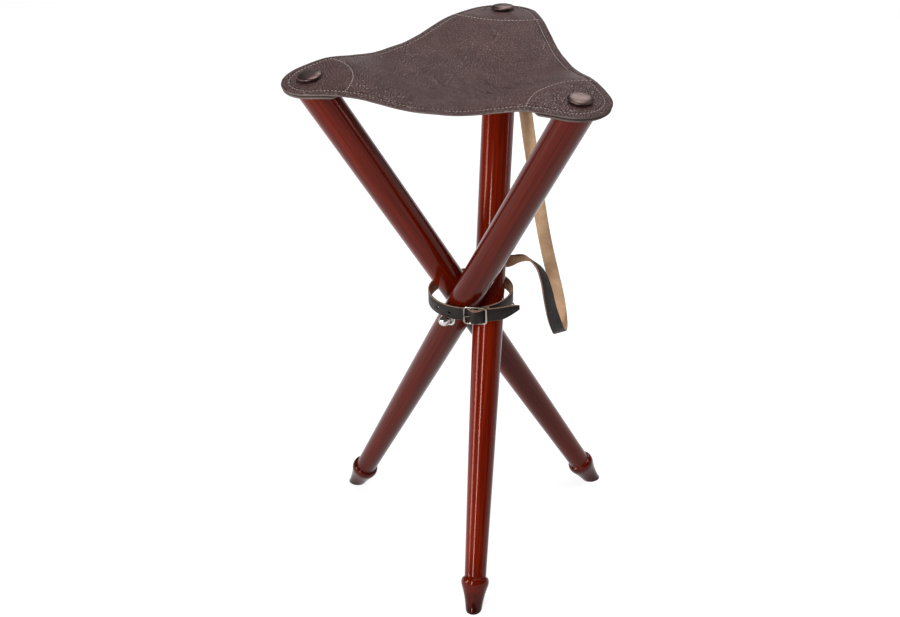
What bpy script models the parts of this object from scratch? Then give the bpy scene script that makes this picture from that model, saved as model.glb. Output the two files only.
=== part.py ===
"""Tripod stool with a leather seat, built standing open on the floor.

Metres, +Z up. The floor is z = 0. Each leg turns on one arm of the three-arm bolt.
"""

import math

import bmesh
import bpy
import numpy as np
from mathutils import Matrix, Vector

# Legs
LEG_TILT = math.radians(29.5)  # from upright, standing open
LEG_ABOVE = 0.3325  # bolt to the middle of the top face
LEG_BELOW = 0.3475  # bolt to the middle of the sole
LEG_TOP_RADIUS = 0.0190
LEG_HUB_RADIUS = 0.0174
ANKLE_RADIUS = 0.0123
FOOT_LENGTH = 0.0375
FOOT_RADIUS = 0.0159
SOLE_RADIUS = 0.0092
TOP_FACE_TILT = math.radians(7.0)  # the top face leans outwards by this

# Three-arm bolt, washers and cap nuts
ARM_OFFSET = 0.0223  # the bolt's middle to each leg's middle line
ARM_RADIUS = 0.0040
BOLT_BOSS_RADIUS = 0.0043
BORE_CLEARANCE = 0.0003
SPOT_FACE_RADIUS = 0.0098
WASHER_RADIUS = 0.0093
WASHER_THICKNESS = 0.0016
NUT_ACROSS_FLATS = 0.0130
NUT_HEX_HEIGHT = 0.0055
NUT_HEIGHT = 0.0140
NUT_WALL = 0.0022
NUT_ENGAGEMENT = 0.0095

# Leather seat
PANEL_THICKNESS = 0.0032
PATCH_THICKNESS = 0.0022
LOBE_RADIUS = 0.0420  # the rounded corner
CORNER_OVERHANG = 0.0310  # stud to the corner's tip
EDGE_HOLLOW = 0.0040  # how far each edge curves in between two corners
CORNER_FLAT = 0.0310  # the leather lies flat this far round a stud
SAG_REACH = 0.1350
SEAT_SAG = 0.0260  # the middle hangs below the studs by this
EDGE_SAG = 0.0115  # the middle of each edge hangs below them by this
PATCH_REACH = 0.0490  # stud to the patch's inner edge
PATCH_INSET = 0.0012
PATCH_HANG = 0.0014  # the patch's inner edge hangs this far off the panel

# Studs
STUD_HEAD_RADIUS = 0.0134
STUD_HEAD_HEIGHT = 0.0062
STUD_SHANK_RADIUS = 0.0030
STUD_SHANK_LENGTH = 0.0340

# Belt round the crossing, and its buckle
BELT_RING_RADIUS = 0.0474  # middle of the leather
BELT_THICKNESS = 0.0022
BELT_WIDTH = 0.0160
BELT_ABOVE_NUT = 0.0004
BELT_SHIFT_X = 0.0020  # the slack ring hangs a little off the middle
BELT_SHIFT_Y = -0.0004
BUCKLE_TURN = math.radians(-77.0)
BUCKLE_WIRE = 0.00125
BUCKLE_HALF_LENGTH = 0.0120
BUCKLE_SIDE_ROOM = 0.0008
BUCKLE_LEAN = math.radians(14.0)
BUCKLE_BAR_OUT = 0.0040  # the middle bar's distance outside the ring's line
PRONG_RADIUS = 0.0009
PRONG_EYE_RADIUS = 0.0029
PRONG_EYE_WIDTH = 0.0036
BELT_HOLE_RADIUS = 0.0020
RIVET_SHANK = 0.0013
RIVET_HEAD = 0.0022
RIVET_ALONG = 0.0115  # from the buckle's middle bar

# Carrying strap and its screws
STRAP_WIDTH = 0.0150
STRAP_THICKNESS = 0.0022
STRAP_FROM_TOP = 0.0445  # upper screw, down the back leg from its top face
STRAP_LOW_AT = 0.0520  # lower screw, up the back leg from the bolt
SCREW_SHANK_RADIUS = 0.0019
SCREW_HEAD_RADIUS = 0.0044
SCREW_HEAD_HEIGHT = 0.0026
SCREW_LENGTH = 0.0200

FIT_GAP = 0.0003  # between pieces that touch
AXIS_X = 0.0104  # where the bolt's middle stands over the floor
AXIS_Y = -0.0056

HUB_Z = LEG_BELOW * math.cos(LEG_TILT)
ARMS = {"back": 0.0, "left": math.radians(120), "right": math.radians(240)}
ROUND_STEPS = 32

for old in list(bpy.data.objects):
    bpy.data.objects.remove(old, do_unlink=True)
stool = bpy.data.collections.new("tripod_stool")
cutters = bpy.data.collections.new("cutters")
bpy.context.scene.collection.children.link(stool)
bpy.context.scene.collection.children.link(cutters)


def material(name, colour, roughness, metallic=0.0):
    made = bpy.data.materials.new(name)
    made.use_nodes = True
    shader = made.node_tree.nodes["Principled BSDF"]
    shader.inputs["Base Color"].default_value = (*colour, 1.0)
    shader.inputs["Roughness"].default_value = roughness
    shader.inputs["Metallic"].default_value = metallic
    return made


stained_wood = material("stained_wood", (0.16, 0.018, 0.008), 0.25)
seat_leather = material("seat_leather", (0.075, 0.046, 0.045), 0.55)
strap_leather = material("strap_leather", (0.035, 0.026, 0.026), 0.5)
bright_steel = material("bright_steel", (0.62, 0.62, 0.62), 0.22, 1.0)
dark_bronze = material("dark_bronze", (0.09, 0.07, 0.065), 0.35, 1.0)
pale_brass = material("pale_brass", (0.66, 0.58, 0.44), 0.28, 1.0)


def empty(name, parent=None, location=(0, 0, 0), rotation=(0, 0, 0)):
    made = bpy.data.objects.new(name, None)
    made.parent = parent
    made.location = location
    made.rotation_euler = rotation
    stool.objects.link(made)
    return made


def piece(name, mesh, look, parent, location=(0, 0, 0), rotation=(0, 0, 0)):
    made = bpy.data.objects.new(name, mesh)
    mesh.materials.append(look)
    made.parent = parent
    made.location = location
    made.rotation_euler = rotation
    stool.objects.link(made)
    return made


def cutter(name, mesh, parent, location=(0, 0, 0), rotation=(0, 0, 0)):
    made = bpy.data.objects.new(name, mesh)
    made.parent = parent
    made.location = location
    made.rotation_euler = rotation
    made.hide_render = True
    made.display_type = "WIRE"
    cutters.objects.link(made)
    return made


def boolean(target, other, operation="DIFFERENCE"):
    step = target.modifiers.new(operation.lower(), "BOOLEAN")
    step.operation = operation
    step.solver = "EXACT"
    step.object = other


def mesh_from(bm, name):
    mesh = bpy.data.meshes.new(name)
    bm.to_mesh(mesh)
    bm.free()
    return mesh


def turned_bmesh(profile, steps=ROUND_STEPS):
    """Spins a profile of (radius, z), listed from top to bottom with both ends on the axis."""
    bm = bmesh.new()
    points = [bm.verts.new((radius, 0.0, z)) for radius, z in profile]
    edges = [bm.edges.new(pair) for pair in zip(points, points[1:])]
    bmesh.ops.spin(
        bm, geom=points + edges, axis=(0, 0, 1), cent=(0, 0, 0), angle=math.tau, steps=steps, use_merge=True
    )
    bmesh.ops.remove_doubles(bm, verts=bm.verts, dist=1e-6)
    bmesh.ops.recalc_face_normals(bm, faces=bm.faces)
    return bm


def turned(name, profile, steps=ROUND_STEPS):
    return mesh_from(turned_bmesh(profile, steps), name)


def rod(name, radius, low, high, steps=24):
    return turned(name, [(0.0, high), (radius, high), (radius, low), (0.0, low)], steps)


def cut_flat(bm, point, normal):
    """Saws off what lies beyond a plane and closes the cut."""
    bmesh.ops.bisect_plane(
        bm, geom=bm.verts[:] + bm.edges[:] + bm.faces[:], plane_co=point, plane_no=normal, clear_outer=True
    )
    open_edges = [edge for edge in bm.edges if edge.is_boundary]
    bmesh.ops.edgeloop_fill(bm, edges=open_edges)
    bmesh.ops.recalc_face_normals(bm, faces=bm.faces)


def smooth_path(points, per_span):
    """A smooth run through points, as an array with per_span samples between two of them."""
    held = np.vstack([2 * points[0] - points[1], points, 2 * points[-1] - points[-2]])
    run = []
    for i in range(1, len(held) - 2):
        before, start, end, after = held[i - 1 : i + 3]
        for k in range(per_span):
            t = k / per_span
            run.append(
                0.5
                * (
                    2 * start
                    + (end - before) * t
                    + (2 * before - 5 * start + 4 * end - after) * t**2
                    + (3 * start - before - 3 * end + after) * t**3
                )
            )
    run.append(held[-2])
    return np.array(run)


def ribbon(name, side_a, side_b):
    """An open strip between two rows of points. Solidify gives it its thickness."""
    bm = bmesh.new()
    row_a = [bm.verts.new(p) for p in side_a]
    row_b = [bm.verts.new(p) for p in side_b]
    for i in range(len(row_a) - 1):
        bm.faces.new((row_a[i], row_a[i + 1], row_b[i + 1], row_b[i]))
    bmesh.ops.recalc_face_normals(bm, faces=bm.faces)
    return mesh_from(bm, name)


def solidify(target, thickness, offset):
    step = target.modifiers.new("leather", "SOLIDIFY")
    step.thickness = thickness
    step.offset = offset
    step.use_even_offset = True


hub = empty("hub", location=(AXIS_X, AXIS_Y, HUB_Z))
arms = {side: empty("arm_" + side, hub, rotation=(0, 0, turn)) for side, turn in ARMS.items()}
leg_frames = {
    side: empty("leg_frame_" + side, arms[side], location=(ARM_OFFSET, 0, 0), rotation=(-LEG_TILT, 0, 0))
    for side in ARMS
}

# Leg: turned in one piece with its foot knob, sole and top face sawn flat.
# In a leg frame +Z runs up the leg and +X along its arm.
leg_profile = [
    (0.0, LEG_ABOVE + 0.012),
    (LEG_TOP_RADIUS, LEG_ABOVE + 0.012),
    (LEG_TOP_RADIUS, LEG_ABOVE - 0.020),
    (LEG_HUB_RADIUS + 0.55 * (LEG_TOP_RADIUS - LEG_HUB_RADIUS), LEG_ABOVE * 0.5),
    (LEG_HUB_RADIUS, 0.025),
    (LEG_HUB_RADIUS, -0.025),
    (LEG_HUB_RADIUS - 0.40 * (LEG_HUB_RADIUS - ANKLE_RADIUS), -LEG_BELOW * 0.45),
    (ANKLE_RADIUS + 0.0004, -LEG_BELOW + FOOT_LENGTH + 0.030),
    (ANKLE_RADIUS, -LEG_BELOW + FOOT_LENGTH),
    (ANKLE_RADIUS + 0.35 * (FOOT_RADIUS - ANKLE_RADIUS), -LEG_BELOW + FOOT_LENGTH - 0.0004),
    (ANKLE_RADIUS + 0.75 * (FOOT_RADIUS - ANKLE_RADIUS), -LEG_BELOW + FOOT_LENGTH * 0.955),
    (FOOT_RADIUS, -LEG_BELOW + FOOT_LENGTH * 0.86),
    (FOOT_RADIUS * 0.975, -LEG_BELOW + FOOT_LENGTH * 0.76),
    (SOLE_RADIUS + 0.66 * (FOOT_RADIUS - SOLE_RADIUS), -LEG_BELOW + FOOT_LENGTH * 0.60),
    (SOLE_RADIUS + 0.36 * (FOOT_RADIUS - SOLE_RADIUS), -LEG_BELOW + FOOT_LENGTH * 0.40),
    (SOLE_RADIUS + 0.13 * (FOOT_RADIUS - SOLE_RADIUS), -LEG_BELOW + FOOT_LENGTH * 0.18),
    (SOLE_RADIUS, -LEG_BELOW),
    (SOLE_RADIUS, -LEG_BELOW - 0.010),
    (0.0, -LEG_BELOW - 0.010),
]
face_lean = LEG_TILT - TOP_FACE_TILT
top_normal = Vector((0, -math.sin(face_lean), math.cos(face_lean)))
sole_normal = Vector((0, math.sin(LEG_TILT), -math.cos(LEG_TILT)))
spot_face_at = math.sqrt(LEG_HUB_RADIUS**2 - SPOT_FACE_RADIUS**2)
across = (0, math.radians(90), 0)  # turns +Z of a mesh along the arm

bore_mesh = rod("arm_bore", ARM_RADIUS + BORE_CLEARANCE, -0.03, 0.03)
spot_mesh = rod("spot_face", SPOT_FACE_RADIUS, spot_face_at, 0.03, ROUND_STEPS)
pilot_mesh = rod("stud_pilot", STUD_SHANK_RADIUS + BORE_CLEARANCE, -STUD_SHANK_LENGTH - 0.002, 0.02, 20)
legs = {}
top_frames = {}
for side in ARMS:
    bm = turned_bmesh(leg_profile)
    cut_flat(bm, Vector((0, 0, LEG_ABOVE)), top_normal)
    cut_flat(bm, Vector((0, 0, -LEG_BELOW)), sole_normal)
    legs[side] = piece("leg_" + side, mesh_from(bm, "leg_" + side), stained_wood, leg_frames[side])
    top_frames[side] = empty("top_frame_" + side, leg_frames[side], (0, 0, LEG_ABOVE), (face_lean, 0, 0))
    boolean(legs[side], cutter("bore_" + side, bore_mesh, leg_frames[side], rotation=across))
    boolean(legs[side], cutter("spot_" + side, spot_mesh, leg_frames[side], rotation=across))
    boolean(legs[side], cutter("pilot_" + side, pilot_mesh, top_frames[side]))

# Three-arm bolt: one forging, its arms ending inside the cap nuts.
washer_low = spot_face_at + FIT_GAP
nut_low = washer_low + WASHER_THICKNESS + FIT_GAP
arm_length = ARM_OFFSET + nut_low + NUT_ENGAGEMENT
arm_mesh = rod("bolt_arm", ARM_RADIUS, 0.0, arm_length)
boss_mesh = turned(
    "bolt_boss",
    [
        (0.0, BOLT_BOSS_RADIUS * 1.15),
        (BOLT_BOSS_RADIUS * 0.7, BOLT_BOSS_RADIUS * 1.1),
        (BOLT_BOSS_RADIUS, BOLT_BOSS_RADIUS * 0.8),
        (BOLT_BOSS_RADIUS, -BOLT_BOSS_RADIUS * 0.8),
        (BOLT_BOSS_RADIUS * 0.7, -BOLT_BOSS_RADIUS * 1.1),
        (0.0, -BOLT_BOSS_RADIUS * 1.15),
    ],
    24,
)
tripod_bolt = piece("tripod_bolt", boss_mesh, bright_steel, hub)
for side in ARMS:
    boolean(tripod_bolt, cutter("bolt_arm_" + side, arm_mesh, arms[side], rotation=across), "UNION")

# Washers and cap nuts on each arm, outside the leg.
hole_radius = ARM_RADIUS + BORE_CLEARANCE
washer_bm = turned_bmesh(
    [
        (0.0, WASHER_THICKNESS),
        (WASHER_RADIUS - 0.0003, WASHER_THICKNESS),
        (WASHER_RADIUS, WASHER_THICKNESS - 0.0003),
        (WASHER_RADIUS, 0.0),
        (0.0, 0.0),
    ]
)
washer_mesh = mesh_from(washer_bm, "washer")
washer_hole = rod("washer_hole", hole_radius, -0.01, 0.01)
nut_bm = bmesh.new()
bmesh.ops.create_cone(
    nut_bm,
    cap_ends=True,
    segments=6,
    radius1=NUT_ACROSS_FLATS / math.sqrt(3),
    radius2=NUT_ACROSS_FLATS / math.sqrt(3),
    depth=NUT_HEX_HEIGHT,
    matrix=Matrix.Translation((0, 0, NUT_HEX_HEIGHT / 2)) @ Matrix.Rotation(math.radians(30), 4, "Z"),
)
nut_mesh = mesh_from(nut_bm, "cap_nut")
dome_radius = NUT_ACROSS_FLATS * 0.46
dome_straight = NUT_HEIGHT - dome_radius
dome_profile = [
    (dome_radius * math.sin(a), dome_straight + dome_radius * math.cos(a))
    for a in [math.radians(15 * k) for k in range(7)]
]
dome_mesh = turned("nut_dome", dome_profile + [(dome_radius, 0.001), (0.0, 0.001)], 24)
chamfer_mesh = turned(
    "nut_chamfer",
    [
        (0.0, NUT_HEX_HEIGHT + 0.001),
        (NUT_ACROSS_FLATS * 0.47, NUT_HEX_HEIGHT + 0.001),
        (NUT_ACROSS_FLATS * 0.60, NUT_HEX_HEIGHT - 0.0022),
        (NUT_ACROSS_FLATS * 0.60, -0.002),
        (0.0, -0.002),
    ],
    24,
)
nut_bore = rod("nut_bore", hole_radius, -0.01, NUT_HEIGHT - NUT_WALL)
for side in ARMS:
    washer_at = (ARM_OFFSET + washer_low, 0, 0)
    washer = piece("washer_" + side, washer_mesh.copy(), bright_steel, arms[side], washer_at, across)
    boolean(washer, cutter("washer_hole_" + side, washer_hole, arms[side], washer_at, across))
    nut_at = (ARM_OFFSET + nut_low, 0, 0)
    nut = piece("cap_nut_" + side, nut_mesh.copy(), bright_steel, arms[side], nut_at, across)
    boolean(nut, cutter("nut_chamfer_" + side, chamfer_mesh, arms[side], nut_at, across), "INTERSECT")
    boolean(nut, cutter("nut_dome_" + side, dome_mesh, arms[side], nut_at, across), "UNION")
    boolean(nut, cutter("nut_bore_" + side, nut_bore, arms[side], nut_at, across))

# Seat: the outline is three rounded corners joined by shallow inward curves.
# All seat points are in the hub's frame.
stack = FIT_GAP + PATCH_THICKNESS + FIT_GAP  # leg top to the panel's underside
corner_turn = math.atan2(LEG_ABOVE * math.sin(LEG_TILT), ARM_OFFSET)
stud_out = math.hypot(LEG_ABOVE * math.sin(LEG_TILT), ARM_OFFSET)
stud_z = LEG_ABOVE * math.cos(LEG_TILT)
lobe_out = stud_out + CORNER_OVERHANG - LOBE_RADIUS
edge_out = lobe_out * 0.5 + LOBE_RADIUS - EDGE_HOLLOW
lobe_side = lobe_out * math.sqrt(0.75)
hollow_gap = edge_out - lobe_out * 0.5
hollow_radius = (lobe_side**2 + hollow_gap**2 - LOBE_RADIUS**2) / (2 * (LOBE_RADIUS - hollow_gap))
hollow_out = edge_out + hollow_radius
meet = math.atan2(lobe_side, hollow_out - lobe_out * 0.5)
meet_turn = math.radians(60) - math.atan2(
    hollow_radius * math.sin(meet), hollow_out - hollow_radius * math.cos(meet)
)


def outline_reach(turn):
    """How far the seat reaches from the hub's axis, at a turn from the nearest corner's line."""
    turn = abs((turn + math.radians(60)) % math.radians(120) - math.radians(60))
    if turn <= meet_turn:
        return lobe_out * math.cos(turn) + math.sqrt(LOBE_RADIUS**2 - (lobe_out * math.sin(turn)) ** 2)
    rest = math.radians(60) - turn
    return hollow_out * math.cos(rest) - math.sqrt(hollow_radius**2 - (hollow_out * math.sin(rest)) ** 2)


def even_turns(count):
    """Turns round one third of the outline, from one corner to the next, evenly spaced along the edge."""
    fine = np.linspace(0.0, math.radians(120), 721)
    reach = np.array([outline_reach(t) for t in fine])
    points = np.stack([reach * np.cos(fine), reach * np.sin(fine)], axis=1)
    run = np.concatenate([[0.0], np.cumsum(np.linalg.norm(np.diff(points, axis=0), axis=1))])
    return np.interp(np.linspace(0.0, run[-1], count + 1)[:-1], run, fine)


def ease(t):
    t = min(max(t, 0.0), 1.0)
    return t * t * (3 - 2 * t)


def corner_place(side):
    """The middle of a leg's top face in plan, and the way the face leans."""
    turn = ARMS[side]
    arm = Vector((math.cos(turn), math.sin(turn)))
    lean = Vector((-math.sin(turn), math.cos(turn)))
    return arm * ARM_OFFSET + lean * LEG_ABOVE * math.sin(LEG_TILT), lean


corner_places = {side: corner_place(side) for side in ARMS}
corner_angles = {side: ARMS[side] + corner_turn for side in ARMS}


def underside_z(x, y):
    """Height of the panel's underside over the hub."""
    share = math.hypot(x, y) / outline_reach(math.atan2(y, x) - corner_angles["back"])
    base = stud_z + stack - SEAT_SAG + (SEAT_SAG - EDGE_SAG) * ease(share)
    height = base
    for middle, lean in corner_places.values():
        off = Vector((x, y)) - middle
        out = off.dot(lean)
        limit = CORNER_FLAT * 1.15
        out = max(min(out, limit), -limit)
        flat = stud_z + stack / math.cos(TOP_FACE_TILT) - out * math.tan(TOP_FACE_TILT)
        height += (flat - base) * ease((SAG_REACH - off.length) / (SAG_REACH - CORNER_FLAT))
    return height


third = even_turns(22)
turns = [corner_angles["back"] + t + k * math.radians(120) for k in range(3) for t in third]
rings = (0.20, 0.40, 0.55, 0.66, 0.74, 0.80, 0.86, 0.93, 1.0)
bm = bmesh.new()
middle_vert = bm.verts.new((0, 0, underside_z(0, 0)))
rows = []
for share in rings:
    row = []
    for turn in turns:
        reach = share * outline_reach(turn - corner_angles["back"])
        x, y = reach * math.cos(turn), reach * math.sin(turn)
        row.append(bm.verts.new((x, y, underside_z(x, y))))
    rows.append(row)
for i in range(len(turns)):
    j = (i + 1) % len(turns)
    bm.faces.new((middle_vert, rows[0][i], rows[0][j]))
    for inner, outer in zip(rows, rows[1:]):
        bm.faces.new((inner[i], outer[i], outer[j], inner[j]))
seat_panel = piece("seat_panel", mesh_from(bm, "seat_panel"), seat_leather, hub)
solidify(seat_panel, PANEL_THICKNESS, 1.0)
stud_hole = rod("stud_hole", STUD_SHANK_RADIUS + BORE_CLEARANCE, -0.02, 0.02, 20)
for side in ARMS:
    boolean(seat_panel, cutter("panel_hole_" + side, stud_hole, top_frames[side]))

# Corner patches: a second layer under each corner, out to an arc round the stud.
for side in ARMS:
    middle, lean = corner_places[side]
    bm = bmesh.new()
    patch_rows = []
    for share in (0.0, 0.30, 0.55, 0.78, 1.0):
        row = []
        for k in range(36):
            way = Vector((math.cos(math.tau * k / 36), math.sin(math.tau * k / 36)))
            low, high = 0.0, PATCH_REACH
            for _ in range(30):
                half = (low + high) / 2
                spot = middle + way * (half + PATCH_INSET)
                inside = spot.length < outline_reach(math.atan2(spot.y, spot.x) - corner_angles["back"])
                low, high = (half, high) if inside else (low, half)
            start = STUD_SHANK_RADIUS + BORE_CLEARANCE
            spot = middle + way * (start + share * (low - start))
            hang = PATCH_HANG * ease((share * low - 0.018) / 0.016)
            height = underside_z(spot.x, spot.y) - FIT_GAP * 1.02 - hang
            row.append(bm.verts.new((spot.x, spot.y, height)))
        patch_rows.append(row)
    for inner, outer in zip(patch_rows, patch_rows[1:]):
        for i in range(36):
            j = (i + 1) % 36
            bm.faces.new((inner[i], outer[i], outer[j], inner[j]))
    patch = piece("corner_patch_" + side, mesh_from(bm, "corner_patch_" + side), seat_leather, hub)
    solidify(patch, PATCH_THICKNESS, -1.0)

# Studs: a mushroom head on a shank driven into the leg's end.
head_low = stack + PANEL_THICKNESS + FIT_GAP
stud_profile = [
    (0.0, head_low + STUD_HEAD_HEIGHT),
    (STUD_HEAD_RADIUS * 0.50, head_low + STUD_HEAD_HEIGHT * 0.96),
    (STUD_HEAD_RADIUS * 0.80, head_low + STUD_HEAD_HEIGHT * 0.84),
    (STUD_HEAD_RADIUS * 0.95, head_low + STUD_HEAD_HEIGHT * 0.66),
    (STUD_HEAD_RADIUS, head_low + STUD_HEAD_HEIGHT * 0.46),
    (STUD_HEAD_RADIUS * 0.95, head_low + STUD_HEAD_HEIGHT * 0.26),
    (STUD_HEAD_RADIUS * 0.72, head_low + STUD_HEAD_HEIGHT * 0.10),
    (STUD_HEAD_RADIUS * 0.66, head_low),
    (STUD_SHANK_RADIUS, head_low),
    (STUD_SHANK_RADIUS, -STUD_SHANK_LENGTH + STUD_SHANK_RADIUS),
    (0.0, -STUD_SHANK_LENGTH),
]
for side in ARMS:
    piece("stud_" + side, turned("stud_" + side, stud_profile), dark_bronze, top_frames[side])

# Belt: one strip. It starts folded round the buckle's middle bar, goes once round the legs above
# the nuts, passes through the buckle and ends in a free tip. Points are (along, outwards) from the
# ring's line at the buckle; the ring itself is a plain circle.
belt_low = dome_radius + BELT_ABOVE_NUT
belt_middle = belt_low + BELT_WIDTH / 2
buckle = empty(
    "buckle_frame_place",
    hub,
    (
        BELT_SHIFT_X + math.cos(BUCKLE_TURN) * BELT_RING_RADIUS,
        BELT_SHIFT_Y + math.sin(BUCKLE_TURN) * BELT_RING_RADIUS,
        belt_middle,
    ),
    (0, 0, BUCKLE_TURN + math.radians(90)),
)
layer = BELT_THICKNESS + FIT_GAP
hug = BUCKLE_WIRE + FIT_GAP + BELT_THICKNESS / 2  # bar's middle to the middle of leather round it
over = hug + layer


def ring_point(along):
    """The ring's line, in the buckle's plan, at a distance round it from the buckle."""
    turn = along / BELT_RING_RADIUS
    return (BELT_RING_RADIUS * math.sin(turn), BELT_RING_RADIUS * (math.cos(turn) - 1))


bar = BUCKLE_BAR_OUT
fold_back = [
    (0.0160, ring_point(0.0160)[1] + layer + 0.0002),
    (0.0115, ring_point(0.0115)[1] + layer + 0.0002),
    (0.0085, ring_point(0.0085)[1] + layer + 0.0004),
    (0.0055, bar + 0.0002),
    (0.0026, bar + hug * 0.88),
]
loop = [
    (-hug * math.sin(math.radians(a)), bar + hug * math.cos(math.radians(a))) for a in range(0, 181, 22)
]
ring_length = math.tau * BELT_RING_RADIUS
ring_run = [ring_point(a) for a in np.linspace(0.0140, ring_length - 0.0180, 46)]
over_bar = [(-over * math.sin(math.radians(a)), bar + over * math.cos(math.radians(a))) for a in (78, 52, 26, 0)]
lean_slope = math.tan(BUCKLE_LEAN)
under_right = bar + BUCKLE_HALF_LENGTH * lean_slope - hug
billet = [
    (-0.0122, bar - BUCKLE_HALF_LENGTH * lean_slope - hug),
    (-0.0078, bar - 0.0032),
    *over_bar,
    (0.0036, bar + over * 0.90),
    (0.0080, (bar + over * 0.55 + under_right) / 2 + 0.0004),
    (BUCKLE_HALF_LENGTH, under_right),
    (0.0170, under_right - 0.0003),
    (0.0260, under_right - 0.0010),
    (0.0370, under_right - 0.0032),
    (0.0505, under_right - 0.0068),
]
start_run = [(0.0030, bar - hug * 0.98), (0.0070, (bar - hug + ring_point(0.0140)[1]) / 2)]
plan = np.array(fold_back + loop + start_run + ring_run + billet)
plan = smooth_path(plan, 2)
travel = np.concatenate([[0.0], np.cumsum(np.linalg.norm(np.diff(plan, axis=0), axis=1))])
from_tip = travel[-1] - travel
lower = -BELT_WIDTH / 2 + 0.55 * BELT_WIDTH * np.clip(1 - from_tip / 0.022, 0, 1) ** 1.4
upper = BELT_WIDTH / 2 - 0.10 * BELT_WIDTH * np.clip(1 - from_tip / 0.010, 0, 1) ** 1.4
# In the buckle's frame +X runs along the belt and -Y points outwards.
belt_mesh = ribbon(
    "leg_belt",
    [(p[0], -p[1], z) for p, z in zip(plan, lower)],
    [(p[0], -p[1], z) for p, z in zip(plan, upper)],
)
leg_belt = piece("leg_belt", belt_mesh, strap_leather, buckle)
solidify(leg_belt, BELT_THICKNESS, 0.0)

# Buckle: a rounded rectangle of wire with a middle bar, leaning with the overlap.
frame_half = BELT_WIDTH / 2 + BUCKLE_WIRE + BUCKLE_SIDE_ROOM
buckle_plane = empty("buckle_plane", buckle, (0, -bar, 0), (0, 0, -BUCKLE_LEAN))
frame_curve = bpy.data.curves.new("buckle_frame", "CURVE")
frame_curve.dimensions = "3D"
frame_curve.bevel_depth = BUCKLE_WIRE
frame_curve.bevel_resolution = 3
frame_curve.use_fill_caps = True
corner = 0.0030
long_half = BUCKLE_HALF_LENGTH / math.cos(BUCKLE_LEAN)
frame_points = []
for right, up, start in ((1, 1, 0), (-1, 1, 90), (-1, -1, 180), (1, -1, 270)):
    for k in range(5):
        a = math.radians(start + 22.5 * k)
        frame_points.append(
            (
                right * (long_half - corner) + corner * math.cos(a),
                0.0,
                up * (frame_half - corner) + corner * math.sin(a),
            )
        )
spline = frame_curve.splines.new("POLY")
spline.points.add(len(frame_points) - 1)
for point, place in zip(spline.points, frame_points):
    point.co = (*place, 1.0)
spline.use_cyclic_u = True
wire = bpy.data.objects.new("buckle_wire", frame_curve)
cutters.objects.link(wire)
bpy.context.view_layer.update()
frame_mesh = bpy.data.meshes.new_from_object(wire.evaluated_get(bpy.context.evaluated_depsgraph_get()))
bpy.data.objects.remove(wire)
buckle_frame = piece("buckle_frame", frame_mesh, pale_brass, buckle_plane)
bar_mesh = rod("middle_bar", BUCKLE_WIRE, -frame_half, frame_half, 20)
boolean(buckle_frame, cutter("middle_bar", bar_mesh, buckle_plane), "UNION")

# Prong: an eye on the middle bar and a pin through the belt, resting on the left bar.
left_bar = Vector((-BUCKLE_HALF_LENGTH, bar - BUCKLE_HALF_LENGTH * lean_slope))
rest_out = left_bar.y + BUCKLE_WIRE + FIT_GAP + PRONG_RADIUS
pin_dip = math.atan2(bar - rest_out, BUCKLE_HALF_LENGTH)
prong_place = empty("prong_place", buckle, (0, -bar, 0), (0, 0, pin_dip))
eye_mesh = rod("prong_eye", PRONG_EYE_RADIUS, -PRONG_EYE_WIDTH / 2, PRONG_EYE_WIDTH / 2)
prong = piece("buckle_prong", eye_mesh, pale_brass, prong_place)
pin_length = math.hypot(BUCKLE_HALF_LENGTH, bar - rest_out) + 0.0016
pin_mesh = turned(
    "prong_pin",
    [
        (0.0, pin_length),
        (PRONG_RADIUS * 0.7, pin_length - 0.0003),
        (PRONG_RADIUS, pin_length - 0.0012),
        (PRONG_RADIUS, 0.0018),
        (0.0, 0.0018),
    ],
    16,
)
pin = cutter("prong_pin", pin_mesh, prong_place, rotation=(0, math.radians(-90), 0))
boolean(prong, pin, "UNION")
eye_hole = rod("prong_eye_hole", BUCKLE_WIRE + FIT_GAP, -0.01, 0.01, 20)
boolean(prong, cutter("prong_eye_hole", eye_hole, prong_place))

# Belt holes: the slot for the eye, the hole in use and two spare ones.
eye_slot = rod("eye_slot", hug + BELT_THICKNESS / 2 + 0.0001, -0.0025, 0.0025)
boolean(leg_belt, cutter("eye_slot", eye_slot, buckle, (0, -bar, 0)))
hole_mesh = rod("belt_hole", BELT_HOLE_RADIUS, -0.004, 0.004, 20)
used_hole = rod("used_hole", PRONG_RADIUS + 0.0012, -0.0092, -hug - BELT_THICKNESS / 2 + 0.0008, 20)
boolean(leg_belt, cutter("used_hole", used_hole, prong_place, (0, -0.0003, 0), (0, math.radians(90), 0)))
for k, around in enumerate((-0.0290, -0.0465)):
    turn = around / BELT_RING_RADIUS
    spot = ring_point(around)
    place = (spot[0], -spot[1], 0)
    boolean(
        leg_belt, cutter("spare_hole_%d" % k, hole_mesh, buckle, place, (math.radians(90), 0, turn))
    )

# Rivet through the folded end, under the free part.
inner_face = -BELT_THICKNESS / 2 - FIT_GAP
outer_face = layer + 0.0002 + BELT_THICKNESS / 2 + FIT_GAP
rivet_profile = [
    (0.0, outer_face + 0.0004),
    (RIVET_HEAD * 0.8, outer_face + 0.0004),
    (RIVET_HEAD, outer_face),
    (RIVET_SHANK, outer_face),
    (RIVET_SHANK, inner_face),
    (RIVET_HEAD, inner_face),
    (RIVET_HEAD * 0.7, inner_face - 0.0009),
    (0.0, inner_face - 0.0011),
]
rivet_spot = ring_point(RIVET_ALONG)
rivet_place = (rivet_spot[0], -rivet_spot[1], 0)
out_turn = (math.radians(90), 0, RIVET_ALONG / BELT_RING_RADIUS)
piece("belt_rivet", turned("belt_rivet", rivet_profile, 20), pale_brass, buckle, rivet_place, out_turn)
rivet_hole = rod("rivet_hole", RIVET_SHANK + FIT_GAP, inner_face - 0.0002, outer_face + 0.0001, 20)
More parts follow.
